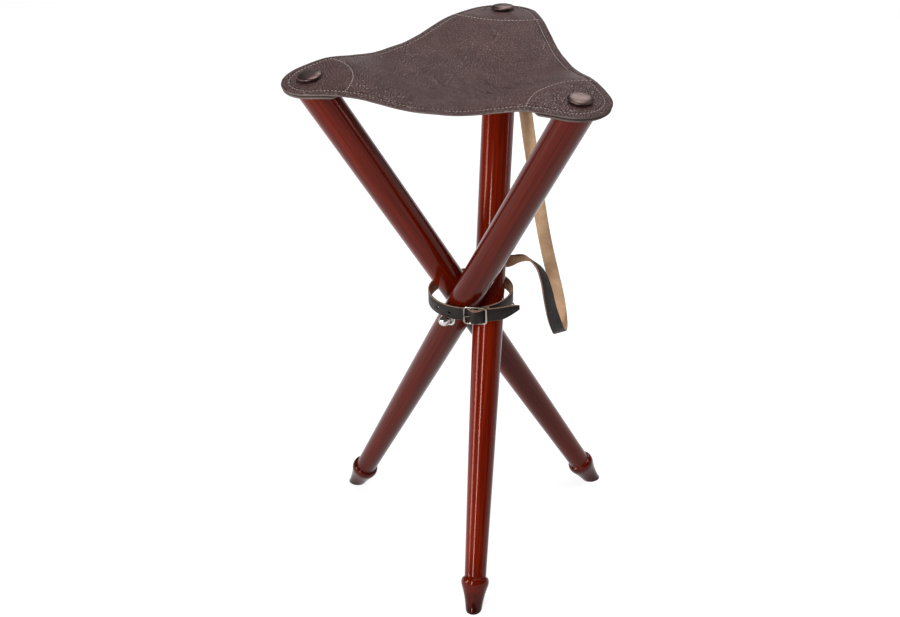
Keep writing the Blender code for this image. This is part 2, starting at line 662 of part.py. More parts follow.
boolean(leg_belt, cutter("rivet_hole", rivet_hole, buckle, rivet_place, out_turn))

# Carrying strap: screwed to the back of the back leg at both ends, hanging in a loop between.
# Points are in the hub's frame: a place on the strap's middle line and the way its width lies.
leg_way = Vector((0, math.sin(LEG_TILT), math.cos(LEG_TILT)))
back_way = Vector((0, math.cos(LEG_TILT), -math.sin(LEG_TILT)))
leg_start = Vector((ARM_OFFSET, 0, 0))


def leg_radius(along):
    share = min(max((along - 0.025) / (LEG_ABOVE - 0.045), 0.0), 1.0)
    return LEG_HUB_RADIUS + share * (LEG_TOP_RADIUS - LEG_HUB_RADIUS) + 0.0002


def on_back(along):
    """The strap's middle line where it lies on the back of the leg."""
    return leg_start + leg_way * along + back_way * (leg_radius(along) + FIT_GAP + STRAP_THICKNESS / 2)


strap_top_at = LEG_ABOVE - STRAP_FROM_TOP
low_end = on_back(STRAP_LOW_AT)
top_end = on_back(strap_top_at)
right_way = Vector((1, 0, 0))
# The hanging part: places as shares of the leg's upper length, and the way the width lies there.
hanging = [
    ((0.122, 0.125, 0.111), (0.30, 0.05, -0.95)),
    ((0.151, 0.114, 0.127), (0.56, 0.40, -0.72)),
    ((0.191, 0.092, 0.142), (0.34, 0.59, -0.74)),
    ((0.231, 0.066, 0.124), (0.20, 0.92, -0.34)),
    ((0.253, 0.057, 0.081), (0.38, 0.92, 0.12)),
    ((0.266, 0.066, 0.015), (0.61, 0.74, 0.27)),
    ((0.276, 0.090, -0.060), (0.71, 0.61, 0.35)),
    ((0.289, 0.126, -0.135), (0.94, 0.30, 0.20)),
    ((0.298, 0.168, -0.187), (1.00, 0.15, 0.30)),
    ((0.301, 0.205, -0.190), (1.00, 0.10, 0.30)),
    ((0.296, 0.235, -0.156), (1.00, 0.10, 0.20)),
    ((0.281, 0.256, -0.078), (1.00, 0.10, 0.12)),
    ((0.235, 0.301, 0.099), (1.00, 0.10, 0.15)),
    ((0.199, 0.349, 0.277), (1.00, 0.10, 0.15)),
    ((0.170, 0.397, 0.436), (1.00, 0.08, 0.15)),
    ((0.138, 0.445, 0.595), (1.00, 0.05, 0.15)),
]
tail = STRAP_WIDTH * 0.6
stations = [
    (low_end - right_way * tail, -leg_way),
    (low_end, -leg_way),
    (low_end + right_way * tail + back_way * 0.0005, -leg_way),
    *[(Vector(place) * LEG_ABOVE, Vector(width)) for place, width in hanging],
    (top_end - leg_way * 0.014 + right_way * 0.007 + back_way * 0.001, Vector((1.0, 0.0, 0.25))),
    (top_end, right_way),
    (top_end + leg_way * tail * 1.2, right_way),
]
middle_run = smooth_path(np.array([s[0] for s in stations]), 3)
width_run = smooth_path(np.array([s[1] for s in stations]), 3)
along_run = np.gradient(middle_run, axis=0)
along_run /= np.linalg.norm(along_run, axis=1)[:, None]
width_run -= along_run * np.sum(width_run * along_run, axis=1)[:, None]
width_run /= np.linalg.norm(width_run, axis=1)[:, None]
strap_mesh = ribbon(
    "carry_strap",
    [tuple(p) for p in middle_run - width_run * STRAP_WIDTH / 2],
    [tuple(p) for p in middle_run + width_run * STRAP_WIDTH / 2],
)
carry_strap = piece("carry_strap", strap_mesh, strap_leather, hub)
solidify(carry_strap, STRAP_THICKNESS, 0.0)

# Strap screws: domed heads on the leather, shanks in the leg.
screw_face = STRAP_THICKNESS / 2 + FIT_GAP
screw_profile = [
    (0.0, screw_face + SCREW_HEAD_HEIGHT),
    (SCREW_HEAD_RADIUS * 0.55, screw_face + SCREW_HEAD_HEIGHT * 0.88),
    (SCREW_HEAD_RADIUS * 0.90, screw_face + SCREW_HEAD_HEIGHT * 0.45),
    (SCREW_HEAD_RADIUS, screw_face),
    (SCREW_SHANK_RADIUS, screw_face),
    (SCREW_SHANK_RADIUS, screw_face - SCREW_LENGTH + SCREW_SHANK_RADIUS),
    (0.0, screw_face - SCREW_LENGTH),
]
screw_hole = rod("screw_hole", SCREW_SHANK_RADIUS + FIT_GAP, -SCREW_LENGTH - 0.001, 0.004, 20)
screw_turn = (math.radians(-90), 0, 0)
for name, along in (("top", strap_top_at), ("low", STRAP_LOW_AT)):
    reach = leg_radius(along) + FIT_GAP + STRAP_THICKNESS / 2
    place = (0, reach, along)
    piece(
        "strap_screw_" + name,
        turned("strap_screw_" + name, screw_profile, 20),
        dark_bronze,
        leg_frames["back"],
        place,
        screw_turn,
    )
    hole = cutter("screw_hole_" + name, screw_hole, leg_frames["back"], place, screw_turn)
    boolean(legs["back"], hole)
    boolean(carry_strap, hole)

bpy.context.view_layer.update()
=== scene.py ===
import math

import bmesh
import bpy
import numpy as np
from mathutils import Matrix, Vector, noise


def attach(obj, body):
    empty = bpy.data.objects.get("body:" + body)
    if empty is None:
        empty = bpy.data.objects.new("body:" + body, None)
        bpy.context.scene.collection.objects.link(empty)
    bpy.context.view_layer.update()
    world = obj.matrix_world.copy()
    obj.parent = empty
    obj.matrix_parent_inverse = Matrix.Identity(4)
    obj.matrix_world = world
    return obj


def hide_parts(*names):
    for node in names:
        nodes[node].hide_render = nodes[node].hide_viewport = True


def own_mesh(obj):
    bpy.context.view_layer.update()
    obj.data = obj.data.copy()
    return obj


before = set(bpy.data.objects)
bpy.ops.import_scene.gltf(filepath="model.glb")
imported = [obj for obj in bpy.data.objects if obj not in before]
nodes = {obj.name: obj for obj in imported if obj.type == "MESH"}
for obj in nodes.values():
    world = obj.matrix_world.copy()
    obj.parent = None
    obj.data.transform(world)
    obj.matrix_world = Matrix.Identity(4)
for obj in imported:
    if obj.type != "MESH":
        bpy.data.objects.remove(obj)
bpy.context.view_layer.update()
scene = bpy.context.scene
print("frame loaded:", len(nodes), "solids")

# sizes shared with the solids, metres
stool = {
    "hubX": 0.0104,
    "hubY": -0.0056,
    "tilt": math.radians(29.5),
    "above": 0.3325,
    "below": 0.3475,
    "armOffset": 0.0223,
    "topFaceTilt": math.radians(7.0),
    "fitGap": 0.0003,
}
hubZ = stool["below"] * math.cos(stool["tilt"])
hubAt = Vector((stool["hubX"], stool["hubY"], hubZ))
armTurns = {"back": 0.0, "left": math.radians(120), "right": math.radians(240)}


def armPlace(side):
    return Matrix.Translation(hubAt) @ Matrix.Rotation(armTurns[side], 4, "Z")


def legPlace(side):  # +Z up the leg, +X along its arm
    shift = Matrix.Translation((stool["armOffset"], 0, 0))
    return armPlace(side) @ shift @ Matrix.Rotation(-stool["tilt"], 4, "X")


def topPlace(side):  # on the leg's top face
    lean = stool["tilt"] - stool["topFaceTilt"]
    return legPlace(side) @ Matrix.Translation((0, 0, stool["above"])) @ Matrix.Rotation(lean, 4, "X")


# camera: fitted to the legs' edges, studs and feet
lensView = {
    "azimuth": math.radians(8.245),
    "elevation": math.radians(28.97),
    "roll": math.radians(-1.238),
    "distance": 1.9665,
    "sensorWidth": 36.0,
    "focalPixels": 1717.5,
    "hubPixel": (469.28, 304.47),
    "imageSize": (900, 617),
}
az, el = lensView["azimuth"], lensView["elevation"]
backWay = Vector((math.sin(az) * math.cos(el), -math.cos(az) * math.cos(el), math.sin(el)))
rightWay = Vector((math.cos(az), math.sin(az), 0))
upWay = backWay.cross(rightWay)
rollCos, rollSin = math.cos(lensView["roll"]), math.sin(lensView["roll"])
rightWay, upWay = rollCos * rightWay + rollSin * upWay, rollCos * upWay - rollSin * rightWay
imageWide, imageHigh = lensView["imageSize"]
hubAcross, hubDown = lensView["hubPixel"]
camData = bpy.data.cameras.new("photoCamera")
camData.sensor_width = lensView["sensorWidth"]
camData.lens = lensView["focalPixels"] * lensView["sensorWidth"] / imageWide
camData.shift_x = -(hubAcross - imageWide / 2) / imageWide
camData.shift_y = (hubDown - imageHigh / 2) / imageWide
camera = bpy.data.objects.new("photoCamera", camData)
camera.matrix_world = Matrix.Translation(hubAt + backWay * lensView["distance"]) @ Matrix(
    (rightWay, upWay, backWay)
).transposed().to_4x4()
scene.collection.objects.link(camera)
scene.camera = camera
scene.view_settings.view_transform = "Standard"
print("camera placed")


# materials

def startMaterial(name):
    made = bpy.data.materials.new(name)
    made.use_nodes = True
    return made, made.node_tree.nodes["Principled BSDF"]


def add(made, kind, **values):
    node = made.node_tree.nodes.new(kind)
    for key, value in values.items():
        if hasattr(node, key):
            setattr(node, key, value)
        else:
            node.inputs[key.replace("_", " ")].default_value = value
    return node


def wire(made, source, output, target, socket):
    made.node_tree.links.new(source.outputs[output], target.inputs[socket])


def ramp(made, source, output, stops):
    node = made.node_tree.nodes.new("ShaderNodeValToRGB")
    bar = node.color_ramp
    bar.elements[0].position, bar.elements[0].color = stops[0][0], (*stops[0][1], 1)
    bar.elements[1].position, bar.elements[1].color = stops[-1][0], (*stops[-1][1], 1)
    for place, colour in stops[1:-1]:
        bar.elements.new(place).color = (*colour, 1)
    wire(made, source, output, node, "Fac")
    return node


def grey(value):
    return (value, value, value)


def placed(made, attribute, scale):  # a pattern on Object coordinates, or on a piece's own attribute
    if attribute:
        source = add(made, "ShaderNodeAttribute", attribute_name=attribute)
        output = "Vector"
    else:
        source = add(made, "ShaderNodeTexCoord")
        output = "Object"
    mapping = add(made, "ShaderNodeMapping")
    mapping.inputs["Scale"].default_value = scale
    wire(made, source, output, mapping, "Vector")
    return mapping


def noiseOn(made, mapping, scale, detail, roughness=0.55, distortion=0.0):
    node = add(
        made, "ShaderNodeTexNoise", Scale=scale, Detail=detail, Roughness=roughness, Distortion=distortion
    )
    wire(made, mapping, "Vector", node, "Vector")
    return node


def mixColours(made, mode, factor, first, second):  # first and second are (node, output)
    node = add(made, "ShaderNodeMix", data_type="RGBA", blend_type=mode)
    node.inputs[0].default_value = factor
    made.node_tree.links.new(first[0].outputs[first[1]], node.inputs[6])
    made.node_tree.links.new(second[0].outputs[second[1]], node.inputs[7])
    return node


def bumpFrom(made, shader, source, output, strength, distance):
    node = add(made, "ShaderNodeBump", Strength=strength, Distance=distance)
    wire(made, source, output, node, "Height")
    wire(made, node, "Normal", shader, "Normal")
    return node


def lacqueredWood():
    look = {
        "dark": (0.082, 0.0033, 0.0006),
        "middle": (0.150, 0.0075, 0.0010),
        "bright": (0.245, 0.0185, 0.0020),
        "grainAcross": 520.0,
        "grainAlong": 7.0,
    }
    made, shader = startMaterial("lacqueredWood")
    fine = placed(made, "legPlace", (look["grainAcross"], look["grainAcross"], look["grainAlong"]))
    streaks = noiseOn(made, fine, 1.0, 5.0, 0.62, 0.35)
    broad = placed(made, "legPlace", (46.0, 46.0, 1.6))
    bands = noiseOn(made, broad, 1.0, 3.0, 0.5, 0.6)
    streakColour = ramp(
        made, streaks, "Fac", [(0.28, look["dark"]), (0.50, look["middle"]), (0.74, look["bright"])]
    )
    bandShade = ramp(made, bands, "Fac", [(0.30, grey(0.74)), (0.52, grey(0.98)), (0.75, grey(1.18))])
    wood = mixColours(made, "MULTIPLY", 1.0, (streakColour, "Color"), (bandShade, "Color"))
    along = add(made, "ShaderNodeAttribute", attribute_name="legAlong")
    ends = ramp(  # darker towards the foot; painted light makes the top, under the seat, lighter
        made,
        along,
        "Fac",
        [
            (0.0, grey(0.16)),
            (0.012, grey(0.30)),
            (0.050, grey(0.75)),
            (0.10, grey(1.0)),
            (0.80, grey(1.0)),
            (1.0, grey(1.12)),
        ],
    )
    toned = mixColours(made, "MULTIPLY", 1.0, (wood, 2), (ends, "Color"))
    paintedLight = add(made, "ShaderNodeAttribute", attribute_name="legPaintedLight")  # each leg's colour is scaled to paint how light falls on it: painted shade on the right and left legs, painted light on the back leg
    lightPainted = mixColours(made, "MULTIPLY", 1.0, (toned, 2), (paintedLight, "Color"))
    made.node_tree.links.new(lightPainted.outputs[2], shader.inputs["Base Color"])
    gloss = ramp(made, bands, "Fac", [(0.2, grey(0.16)), (0.8, grey(0.24))])
    wire(made, gloss, "Color", shader, "Roughness")
    shader.inputs["Specular IOR Level"].default_value = 0.12
    shader.inputs["Specular Tint"].default_value = (1.0, 0.25, 0.15, 1.0)
    shader.inputs["Coat Weight"].default_value = 0.26
    shader.inputs["Coat Roughness"].default_value = 0.07
    bumpFrom(made, shader, streaks, "Fac", 0.02, 0.0004)
    return made


def grainLeather(name, dark, middle, pale, pebble, rough, bump, gloss, creases=False):
    made, shader = startMaterial(name)
    shader.inputs["Specular IOR Level"].default_value = gloss
    plain = placed(made, "", (1, 1, 1))
    cells = add(made, "ShaderNodeTexVoronoi", feature="DISTANCE_TO_EDGE", Scale=pebble)
    warp = noiseOn(made, plain, pebble * 0.55, 3.0)
    shift = add(made, "ShaderNodeVectorMath", operation="MULTIPLY_ADD")
    wire(made, warp, "Color", shift, 0)
    shift.inputs[1].default_value = (0.0016, 0.0016, 0.0016)
    wire(made, plain, "Vector", shift, 2)
    wire(made, shift, "Vector", cells, "Vector")
    mottle = noiseOn(made, plain, 34.0, 6.0, 0.6)
    tone = ramp(made, mottle, "Fac", [(0.28, dark), (0.52, middle), (0.78, pale)])
    valleys = ramp(made, cells, "Distance", [(0.0, grey(0.34)), (0.16, grey(1.06))])
    base = mixColours(made, "MULTIPLY", 0.8, (tone, "Color"), (valleys, "Color"))
    # painted shade: the sunk stitch groove and the rolled lip at the edge are darkened by how far the top is
    # pressed in
    sunk = add(made, "ShaderNodeAttribute", attribute_name="sink")
    shade = ramp(made, sunk, "Fac", [(0.0002, grey(1.0)), (0.0013, grey(0.26))])
    grooveShaded = mixColours(made, "MULTIPLY", 1.0, (base, 2), (shade, "Color"))
    made.node_tree.links.new(grooveShaded.outputs[2], shader.inputs["Base Color"])
    wear = ramp(made, mottle, "Fac", [(0.25, grey(rough + 0.10)), (0.75, grey(rough - 0.08))])
    wire(made, wear, "Color", shader, "Roughness")
    height = ramp(made, cells, "Distance", [(0.0, grey(0.0)), (0.28, grey(1.0))])
    pores = noiseOn(made, plain, pebble * 2.4, 2.0)
    relief = mixColours(made, "ADD", 0.35, (height, "Color"), (pores, "Color"))
    fine = bumpFrom(made, shader, relief, 2, bump, 0.0009)
    if creases:  # a few long folds where the sitter's weight creases the hide
        folds = add(made, "ShaderNodeTexWave", wave_type="BANDS", bands_direction="DIAGONAL", Scale=24.0)
        for key, value in (("Distortion", 5.0), ("Detail", 3.0), ("Detail Scale", 1.3)):
            folds.inputs[key].default_value = value
        wire(made, plain, "Vector", folds, "Vector")
        sharp = ramp(made, folds, "Fac", [(0.0, grey(0.0)), (0.50, grey(1.0))])
        middleOut = add(made, "ShaderNodeVectorMath", operation="DISTANCE")
        wire(made, plain, "Vector", middleOut, 0)
        middleOut.inputs[1].default_value = (0.030, -0.040, 0.565)
        near = ramp(made, middleOut, "Value", [(0.015, grey(0.95)), (0.085, grey(0.0))])
        coarse = add(made, "ShaderNodeBump", Distance=0.0034)
        wire(made, sharp, "Color", coarse, "Height")
        wire(made, near, "Color", coarse, "Strength")
        wire(made, coarse, "Normal", fine, "Normal")
    return made


def rawLeather(name, dark, middle, pale):  # cut edges and flesh sides
    made, shader = startMaterial(name)
    plain = placed(made, "", (1, 1, 1))
    fibres = noiseOn(made, plain, 900.0, 4.0, 0.7)
    clouds = noiseOn(made, plain, 60.0, 4.0, 0.6)
    tone = ramp(made, clouds, "Fac", [(0.30, dark), (0.52, middle), (0.75, pale)])
    fuzz = ramp(made, fibres, "Fac", [(0.30, grey(0.80)), (0.70, grey(1.12))])
    base = mixColours(made, "MULTIPLY", 1.0, (tone, "Color"), (fuzz, "Color"))
    made.node_tree.links.new(base.outputs[2], shader.inputs["Base Color"])
    shader.inputs["Roughness"].default_value = 0.82
    bumpFrom(made, shader, fibres, "Fac", 0.35, 0.0004)
    return made


def workedMetal(name, dark, pale, rough, spread, scale=420.0):
    made, shader = startMaterial(name)
    plain = placed(made, "", (1, 1, 1))
    marks = noiseOn(made, plain, scale, 5.0, 0.65)
    clouds = noiseOn(made, plain, scale * 0.16, 3.0)
    tone = ramp(made, clouds, "Fac", [(0.30, dark), (0.70, pale)])
    wire(made, tone, "Color", shader, "Base Color")
    shader.inputs["Metallic"].default_value = 1.0
    gloss = ramp(made, marks, "Fac", [(0.3, grey(rough)), (0.7, grey(rough + spread))])
    wire(made, gloss, "Color", shader, "Roughness")
    bumpFrom(made, shader, marks, "Fac", 0.06, 0.0002)
    return made


def waxedThread():
    made, shader = startMaterial("waxedThread")
    plain = placed(made, "", (1, 1, 1))
    strands = noiseOn(made, plain, 1600.0, 3.0, 0.7)
    tone = ramp(made, strands, "Fac", [(0.3, (0.36, 0.290, 0.270)), (0.7, (0.54, 0.450, 0.420))])
    wire(made, tone, "Color", shader, "Base Color")
    shader.inputs["Roughness"].default_value = 0.65
    bumpFrom(made, shader, strands, "Fac", 0.4, 0.0002)
    return made


wood = lacqueredWood()
seatHide = grainLeather(
    "seatHide",
    (0.088, 0.043, 0.041),
    (0.114, 0.057, 0.054),
    (0.145, 0.077, 0.072),
    pebble=330.0,
    rough=0.36,
    bump=1.0,
    gloss=0.30,
    creases=True,
)
seatCut = rawLeather("seatCutEdge", (0.11, 0.080, 0.074), (0.16, 0.122, 0.114), (0.22, 0.172, 0.162))
seatFlesh = rawLeather("seatFlesh", (0.09, 0.056, 0.046), (0.13, 0.083, 0.068), (0.17, 0.112, 0.092))
strapHide = grainLeather(
    "strapHide",
    (0.015, 0.010, 0.009),
    (0.023, 0.016, 0.014),
    (0.034, 0.024, 0.022),
    pebble=800.0,
    rough=0.44,
    bump=0.30,
    gloss=0.16,
)
strapCut = rawLeather("strapCutEdge", (0.30, 0.165, 0.110), (0.42, 0.250, 0.175), (0.52, 0.330, 0.245))
strapFlesh = rawLeather("strapFlesh", (0.65, 0.405, 0.222), (0.80, 0.510, 0.295), (0.92, 0.620, 0.380))
thread = waxedThread()
brightPlate = workedMetal("brightPlate", (0.44, 0.44, 0.44), (0.60, 0.60, 0.59), 0.10, 0.12)
paleBrass = workedMetal("paleBrass", (0.20, 0.175, 0.155), (0.36, 0.320, 0.285), 0.18, 0.14)
darkBronze = workedMetal("darkBronze", (0.092, 0.060, 0.055), (0.150, 0.104, 0.096), 0.36, 0.14)
print("materials made")


# small helpers for pieces

def shadeSmooth(mesh, angle):  # edges sharper than the angle stay crisp
    for face in mesh.polygons:
        face.use_smooth = True
    mesh.set_sharp_from_angle(angle=math.radians(angle))


def finished(name, bm, looks, smoothAngle=40.0):
    mesh = bpy.data.meshes.new(name)
    bm.to_mesh(mesh)
    bm.free()
    made = bpy.data.objects.new(name, mesh)
    scene.collection.objects.link(made)
    for look in looks:
        mesh.materials.append(look)
    shadeSmooth(mesh, smoothAngle)
    return made


def spunBmesh(profile, steps):  # profile of (radius, z) with both ends on the axis
    bm = bmesh.new()
    points = [bm.verts.new((r, 0, z)) for r, z in profile]
    edges = [bm.edges.new(pair) for pair in zip(points, points[1:])]
    bmesh.ops.spin(
        bm, geom=points + edges, axis=(0, 0, 1), cent=(0, 0, 0), angle=math.tau, steps=steps, use_merge=True
    )
    bmesh.ops.remove_doubles(bm, verts=bm.verts, dist=1e-6)
    bmesh.ops.recalc_face_normals(bm, faces=bm.faces)
    return bm


def smoothRun(points, perSpan):  # a smooth line through points
    points = [np.array(p, float) for p in points]
    held = [2 * points[0] - points[1], *points, 2 * points[-1] - points[-2]]
    run = []
    for i in range(1, len(held) - 2):
        before, start, end, after = held[i - 1 : i + 3]
        for k in range(perSpan):
            t = k / perSpan
            run.append(
                0.5
                * (
                    2 * start
                    + (end - before) * t
                    + (2 * before - 5 * start + 4 * end - after) * t**2
                    + (3 * start - before - 3 * end + after) * t**3
                )
            )
    run.append(held[-2])
    return np.array(run)


def sawFlat(bm, point, normal):
    bmesh.ops.bisect_plane(
        bm, geom=bm.verts[:] + bm.edges[:] + bm.faces[:], plane_co=point, plane_no=normal, clear_outer=True
    )
    bmesh.ops.edgeloop_fill(bm, edges=[e for e in bm.edges if e.is_boundary])
    bmesh.ops.recalc_face_normals(bm, faces=bm.faces)


def roundEdges(bm, width, least, segments=3):  # bevels every edge sharper than an angle
    sharp = [e for e in bm.edges if len(e.link_faces) == 2 and e.calc_face_angle() > least]
    bmesh.ops.bevel(
        bm, geom=sharp, offset=width, affect="EDGES", segments=segments, profile=0.5, material=-1
    )


def carve(target, cutters, operation="DIFFERENCE"):  # cuts, then keeps the result as the mesh
    for bm in cutters:
        mesh = bpy.data.meshes.new("cutter")
        bm.to_mesh(mesh)
        bm.free()
        tool = bpy.data.objects.new("cutter", mesh)
        scene.collection.objects.link(tool)
        step = target.modifiers.new("cut", "BOOLEAN")
        step.operation = operation
        step.solver = "EXACT"
        step.object = tool
    bpy.context.view_layer.update()
    cut = bpy.data.meshes.new_from_object(target.evaluated_get(bpy.context.evaluated_depsgraph_get()))
    for step in list(target.modifiers):
        bpy.data.objects.remove(step.object)
        target.modifiers.remove(step)
    target.data = cut


def barrel(radius, low, high, place, steps=32):
    bm = spunBmesh([(0, high), (radius, high), (radius, low), (0, low)], steps)
    bmesh.ops.transform(bm, matrix=place, verts=bm.verts)
    return bm


def growRing(bm, edges):  # extrudes a ring in place, and gives its new vertices and edges
    grown = bmesh.ops.extrude_edge_only(bm, edges=edges)["geom"]
    fresh = {g for g in grown if isinstance(g, bmesh.types.BMVert)}
    return fresh, [g for g in grown if isinstance(g, bmesh.types.BMEdge) and all(v in fresh for v in g.verts)]


alongArm = Matrix.Rotation(math.radians(90), 4, "Y")  # turns +Z along the arm

# legs: turned with the knob foot, sawn at the sole and at the top
leg = {
    "topRadius": 0.0190,
    "hubRadius": 0.0174,
    "ankleRadius": 0.0123,
    "footLength": 0.0375,
    "footRadius": 0.0159,
    "soleRadius": 0.0092,
    "spotRadius": 0.0098,
    "boreRadius": 0.0043,
    "steps": 72,
    "sawnEdge": 0.0008,
    "grainShift": 3.7,  # so that no two legs share their grain
    # a brightness for each leg: painted shade on the right and left legs, painted light on the back leg
    "paintedLight": {"back": 1.15, "left": 0.88, "right": 0.60},
}
above, below, foot = stool["above"], stool["below"], leg["footLength"]
sole, knob, ankle = leg["soleRadius"], leg["footRadius"], leg["ankleRadius"]
shaft = smoothRun(
    [
        (leg["topRadius"], above + 0.012),
        (leg["topRadius"], above - 0.020),
        (leg["hubRadius"] + 0.55 * (leg["topRadius"] - leg["hubRadius"]), above * 0.5),
        (leg["hubRadius"], 0.025),
        (leg["hubRadius"], -0.025),
        (leg["hubRadius"] - 0.40 * (leg["hubRadius"] - ankle), -below * 0.45),
        (ankle + 0.0006, -below + foot + 0.030),
        (ankle, -below + foot + 0.0003),
    ],
    4,
)
knobRun = smoothRun(
    [
        (ankle + 0.25 * (knob - ankle), -below + foot - 0.0002),
        (ankle + 0.75 * (knob - ankle), -below + foot * 0.955),
        (knob, -below + foot * 0.86),
        (knob * 0.975, -below + foot * 0.76),
        (sole + 0.66 * (knob - sole), -below + foot * 0.60),
        (sole + 0.36 * (knob - sole), -below + foot * 0.40),
        (sole + 0.13 * (knob - sole), -below + foot * 0.18),
        (sole, -below),
    ],
    3,
)
legProfile = [(0, above + 0.012), *map(tuple, shaft), *map(tuple, knobRun)]
legProfile += [(sole, -below - 0.010), (0, -below - 0.010)]
faceLean = stool["tilt"] - stool["topFaceTilt"]
spotAt = math.sqrt(leg["hubRadius"] ** 2 - leg["spotRadius"] ** 2)
for number, side in enumerate(armTurns):
    bm = spunBmesh(legProfile, leg["steps"])
    sawFlat(bm, (0, 0, above), (0, -math.sin(faceLean), math.cos(faceLean)))
    sawFlat(bm, (0, 0, -below), (0, math.sin(stool["tilt"]), -math.cos(stool["tilt"])))
    bmesh.ops.dissolve_degenerate(bm, dist=1e-5, edges=bm.edges)
    roundEdges(bm, leg["sawnEdge"], math.radians(50), 2)
    piece = finished("turned_leg_" + side, bm, [wood], 35)
    carve(
        piece,
        [
            barrel(leg["boreRadius"], -0.03, 0.03, alongArm),
            barrel(leg["spotRadius"], spotAt, 0.03, alongArm, 48),
        ],
    )
    mesh = piece.data
    spots = np.array([v.co for v in mesh.vertices])
    place = mesh.attributes.new("legPlace", "FLOAT_VECTOR", "POINT")
    shifted = spots + np.array([0, 0, leg["grainShift"] * number])
    place.data.foreach_set("vector", shifted.astype(np.float32).ravel())
    share = mesh.attributes.new("legAlong", "FLOAT", "POINT")
    share.data.foreach_set("value", ((spots[:, 2] + below) / (above + below)).astype(np.float32))
    # each leg carries its painted light and shade scale for the wood material
    depth = mesh.attributes.new("legPaintedLight", "FLOAT", "POINT")
    depth.data.foreach_set("value", np.full(len(spots), leg["paintedLight"][side], dtype=np.float32))
    mesh.transform(legPlace(side))
    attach(piece, "leg_" + side)
    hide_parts("leg_" + side)
print("legs turned")

# cap nuts
nut = {
    "acrossFlats": 0.0130,
    "hexHeight": 0.0055,
    "height": 0.0140,
    "washer": 0.0016,
    "bore": 0.0043,
    "wall": 0.0022,
    "domeStep": math.radians(7.5),
}
nutLow = stool["armOffset"] + spotAt + stool["fitGap"] * 2 + nut["washer"]
domeRadius = nut["acrossFlats"] * 0.46
for side in armTurns:
    bm = bmesh.new()
    bmesh.ops.create_cone(
        bm,
        cap_ends=True,
        segments=6,
        radius1=nut["acrossFlats"] / math.sqrt(3),
        radius2=nut["acrossFlats"] / math.sqrt(3),
        depth=nut["hexHeight"],
        matrix=Matrix.Translation((0, 0, nut["hexHeight"] / 2)) @ Matrix.Rotation(math.radians(30), 4, "Z"),
    )
    piece = finished("nut_" + side, bm, [brightPlate], 30)
    chamfer = spunBmesh(
        [
            (0, nut["hexHeight"] + 0.001),
            (nut["acrossFlats"] * 0.47, nut["hexHeight"] + 0.001),
            (nut["acrossFlats"] * 0.60, nut["hexHeight"] - 0.0022),
            (nut["acrossFlats"] * 0.60, -0.002),
            (0, -0.002),
        ],
        48,
    )
    carve(piece, [chamfer], "INTERSECT")
    straight = nut["height"] - domeRadius
    turns = [nut["domeStep"] * k for k in range(13)]
    dome = [(domeRadius * math.sin(t), straight + domeRadius * math.cos(t)) for t in turns]
    carve(piece, [spunBmesh(dome + [(domeRadius, 0.001), (0, 0.001)], 48)], "UNION")
    carve(piece, [barrel(nut["bore"], -0.01, nut["height"] - nut["wall"], Matrix.Identity(4))])
    shadeSmooth(piece.data, 30)
    piece.data.transform(armPlace(side) @ Matrix.Translation((nutLow, 0, 0)) @ alongArm)
    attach(piece, "hub")
    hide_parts("cap_nut_" + side)
for name in ["tripod_bolt", *("washer_" + side for side in armTurns)]:  # these solids show as they are
    nodes[name].data.materials.clear()
    nodes[name].data.materials.append(brightPlate)
print("nuts made")

# seat: outline and hang as in the solids
seat = {
    "thickness": 0.0032,
    "patchThickness": 0.0022,
    "lobeRadius": 0.0420,
    "overhang": 0.0310,
    "hollow": 0.0040,
    "flat": 0.0310,
    "sagReach": 0.1350,
    "sag": 0.0260,
    "edgeSag": 0.0115,
    "patchReach": 0.0490,
    "patchInset": 0.0012,
    "patchHang": 0.0014,
    "patchHangFrom": 0.018,  # from the stud
    "patchHangRun": 0.016,
    "patchRings": 10,
    "patchColumns": 96,
    "columns": 216,
    "edgeRings": (0, 1.3, 2.8, 4.4, 5.8, 6.8, 7.6, 8.2, 8.8, 9.4, 10.2, 11.2, 12.6, 15, 18, 22),  # mm
    "innerRings": 22,
    "grooveDepth": 0.0016,
    "grooveWidth": 0.0019,
    "lipDrop": 0.0010,
    "lipWidth": 0.0045,
    "edgeRound": 0.0009,
    "ripple": 0.0005,
    "slowWave": (26, 4.0),  # waves to a metre, and which ones
    "fineWave": (90, 9.0),
    "capLine": 0.0190,  # bend line, inwards from the stud
    "petalKeep": 0.305,  # with the next two, neighbours' mid-edges meet when folded
    "petalFold": (0.9637, -0.2264, 0.1413),  # along the arm, outwards, up
    "petalHold": 0.03125,
    "capKeep": 0.45,
    "capFold": (0.9735, 0.2287, 0.0),
    "petalFlat": (0.198, 0.145),
    "petalArea": 0.0190,  # one third of the cut hide, less the part on the leg top
    "patchFlat": (0.090, 0.030),
    "patchArea": 0.00196,
}
stitch = {
    "fromEdge": 0.0085,
    "pitch": 0.0040,
    "length": 0.0028,
    "width": 0.0011,
    "height": 0.0008,
    "arcIn": 0.0440,  # from the stud
    "arcRadius": 0.0780,
    "edgeSteps": 720,
    "slopeStep": 0.0008,  # the leather's slope is taken over this
}
thirdTurn, sixthTurn = math.radians(120), math.radians(60)
stack = stool["fitGap"] * 2 + seat["patchThickness"]
cornerTurn = math.atan2(above * math.sin(stool["tilt"]), stool["armOffset"])
studOut = math.hypot(above * math.sin(stool["tilt"]), stool["armOffset"])
studZ = above * math.cos(stool["tilt"])
lobeOut = studOut + seat["overhang"] - seat["lobeRadius"]
edgeOut = lobeOut * 0.5 + seat["lobeRadius"] - seat["hollow"]
lobeSide = lobeOut * math.sqrt(0.75)
hollowGap = edgeOut - lobeOut * 0.5
hollowRadius = (lobeSide**2 + hollowGap**2 - seat["lobeRadius"] ** 2) / (2 * (seat["lobeRadius"] - hollowGap))
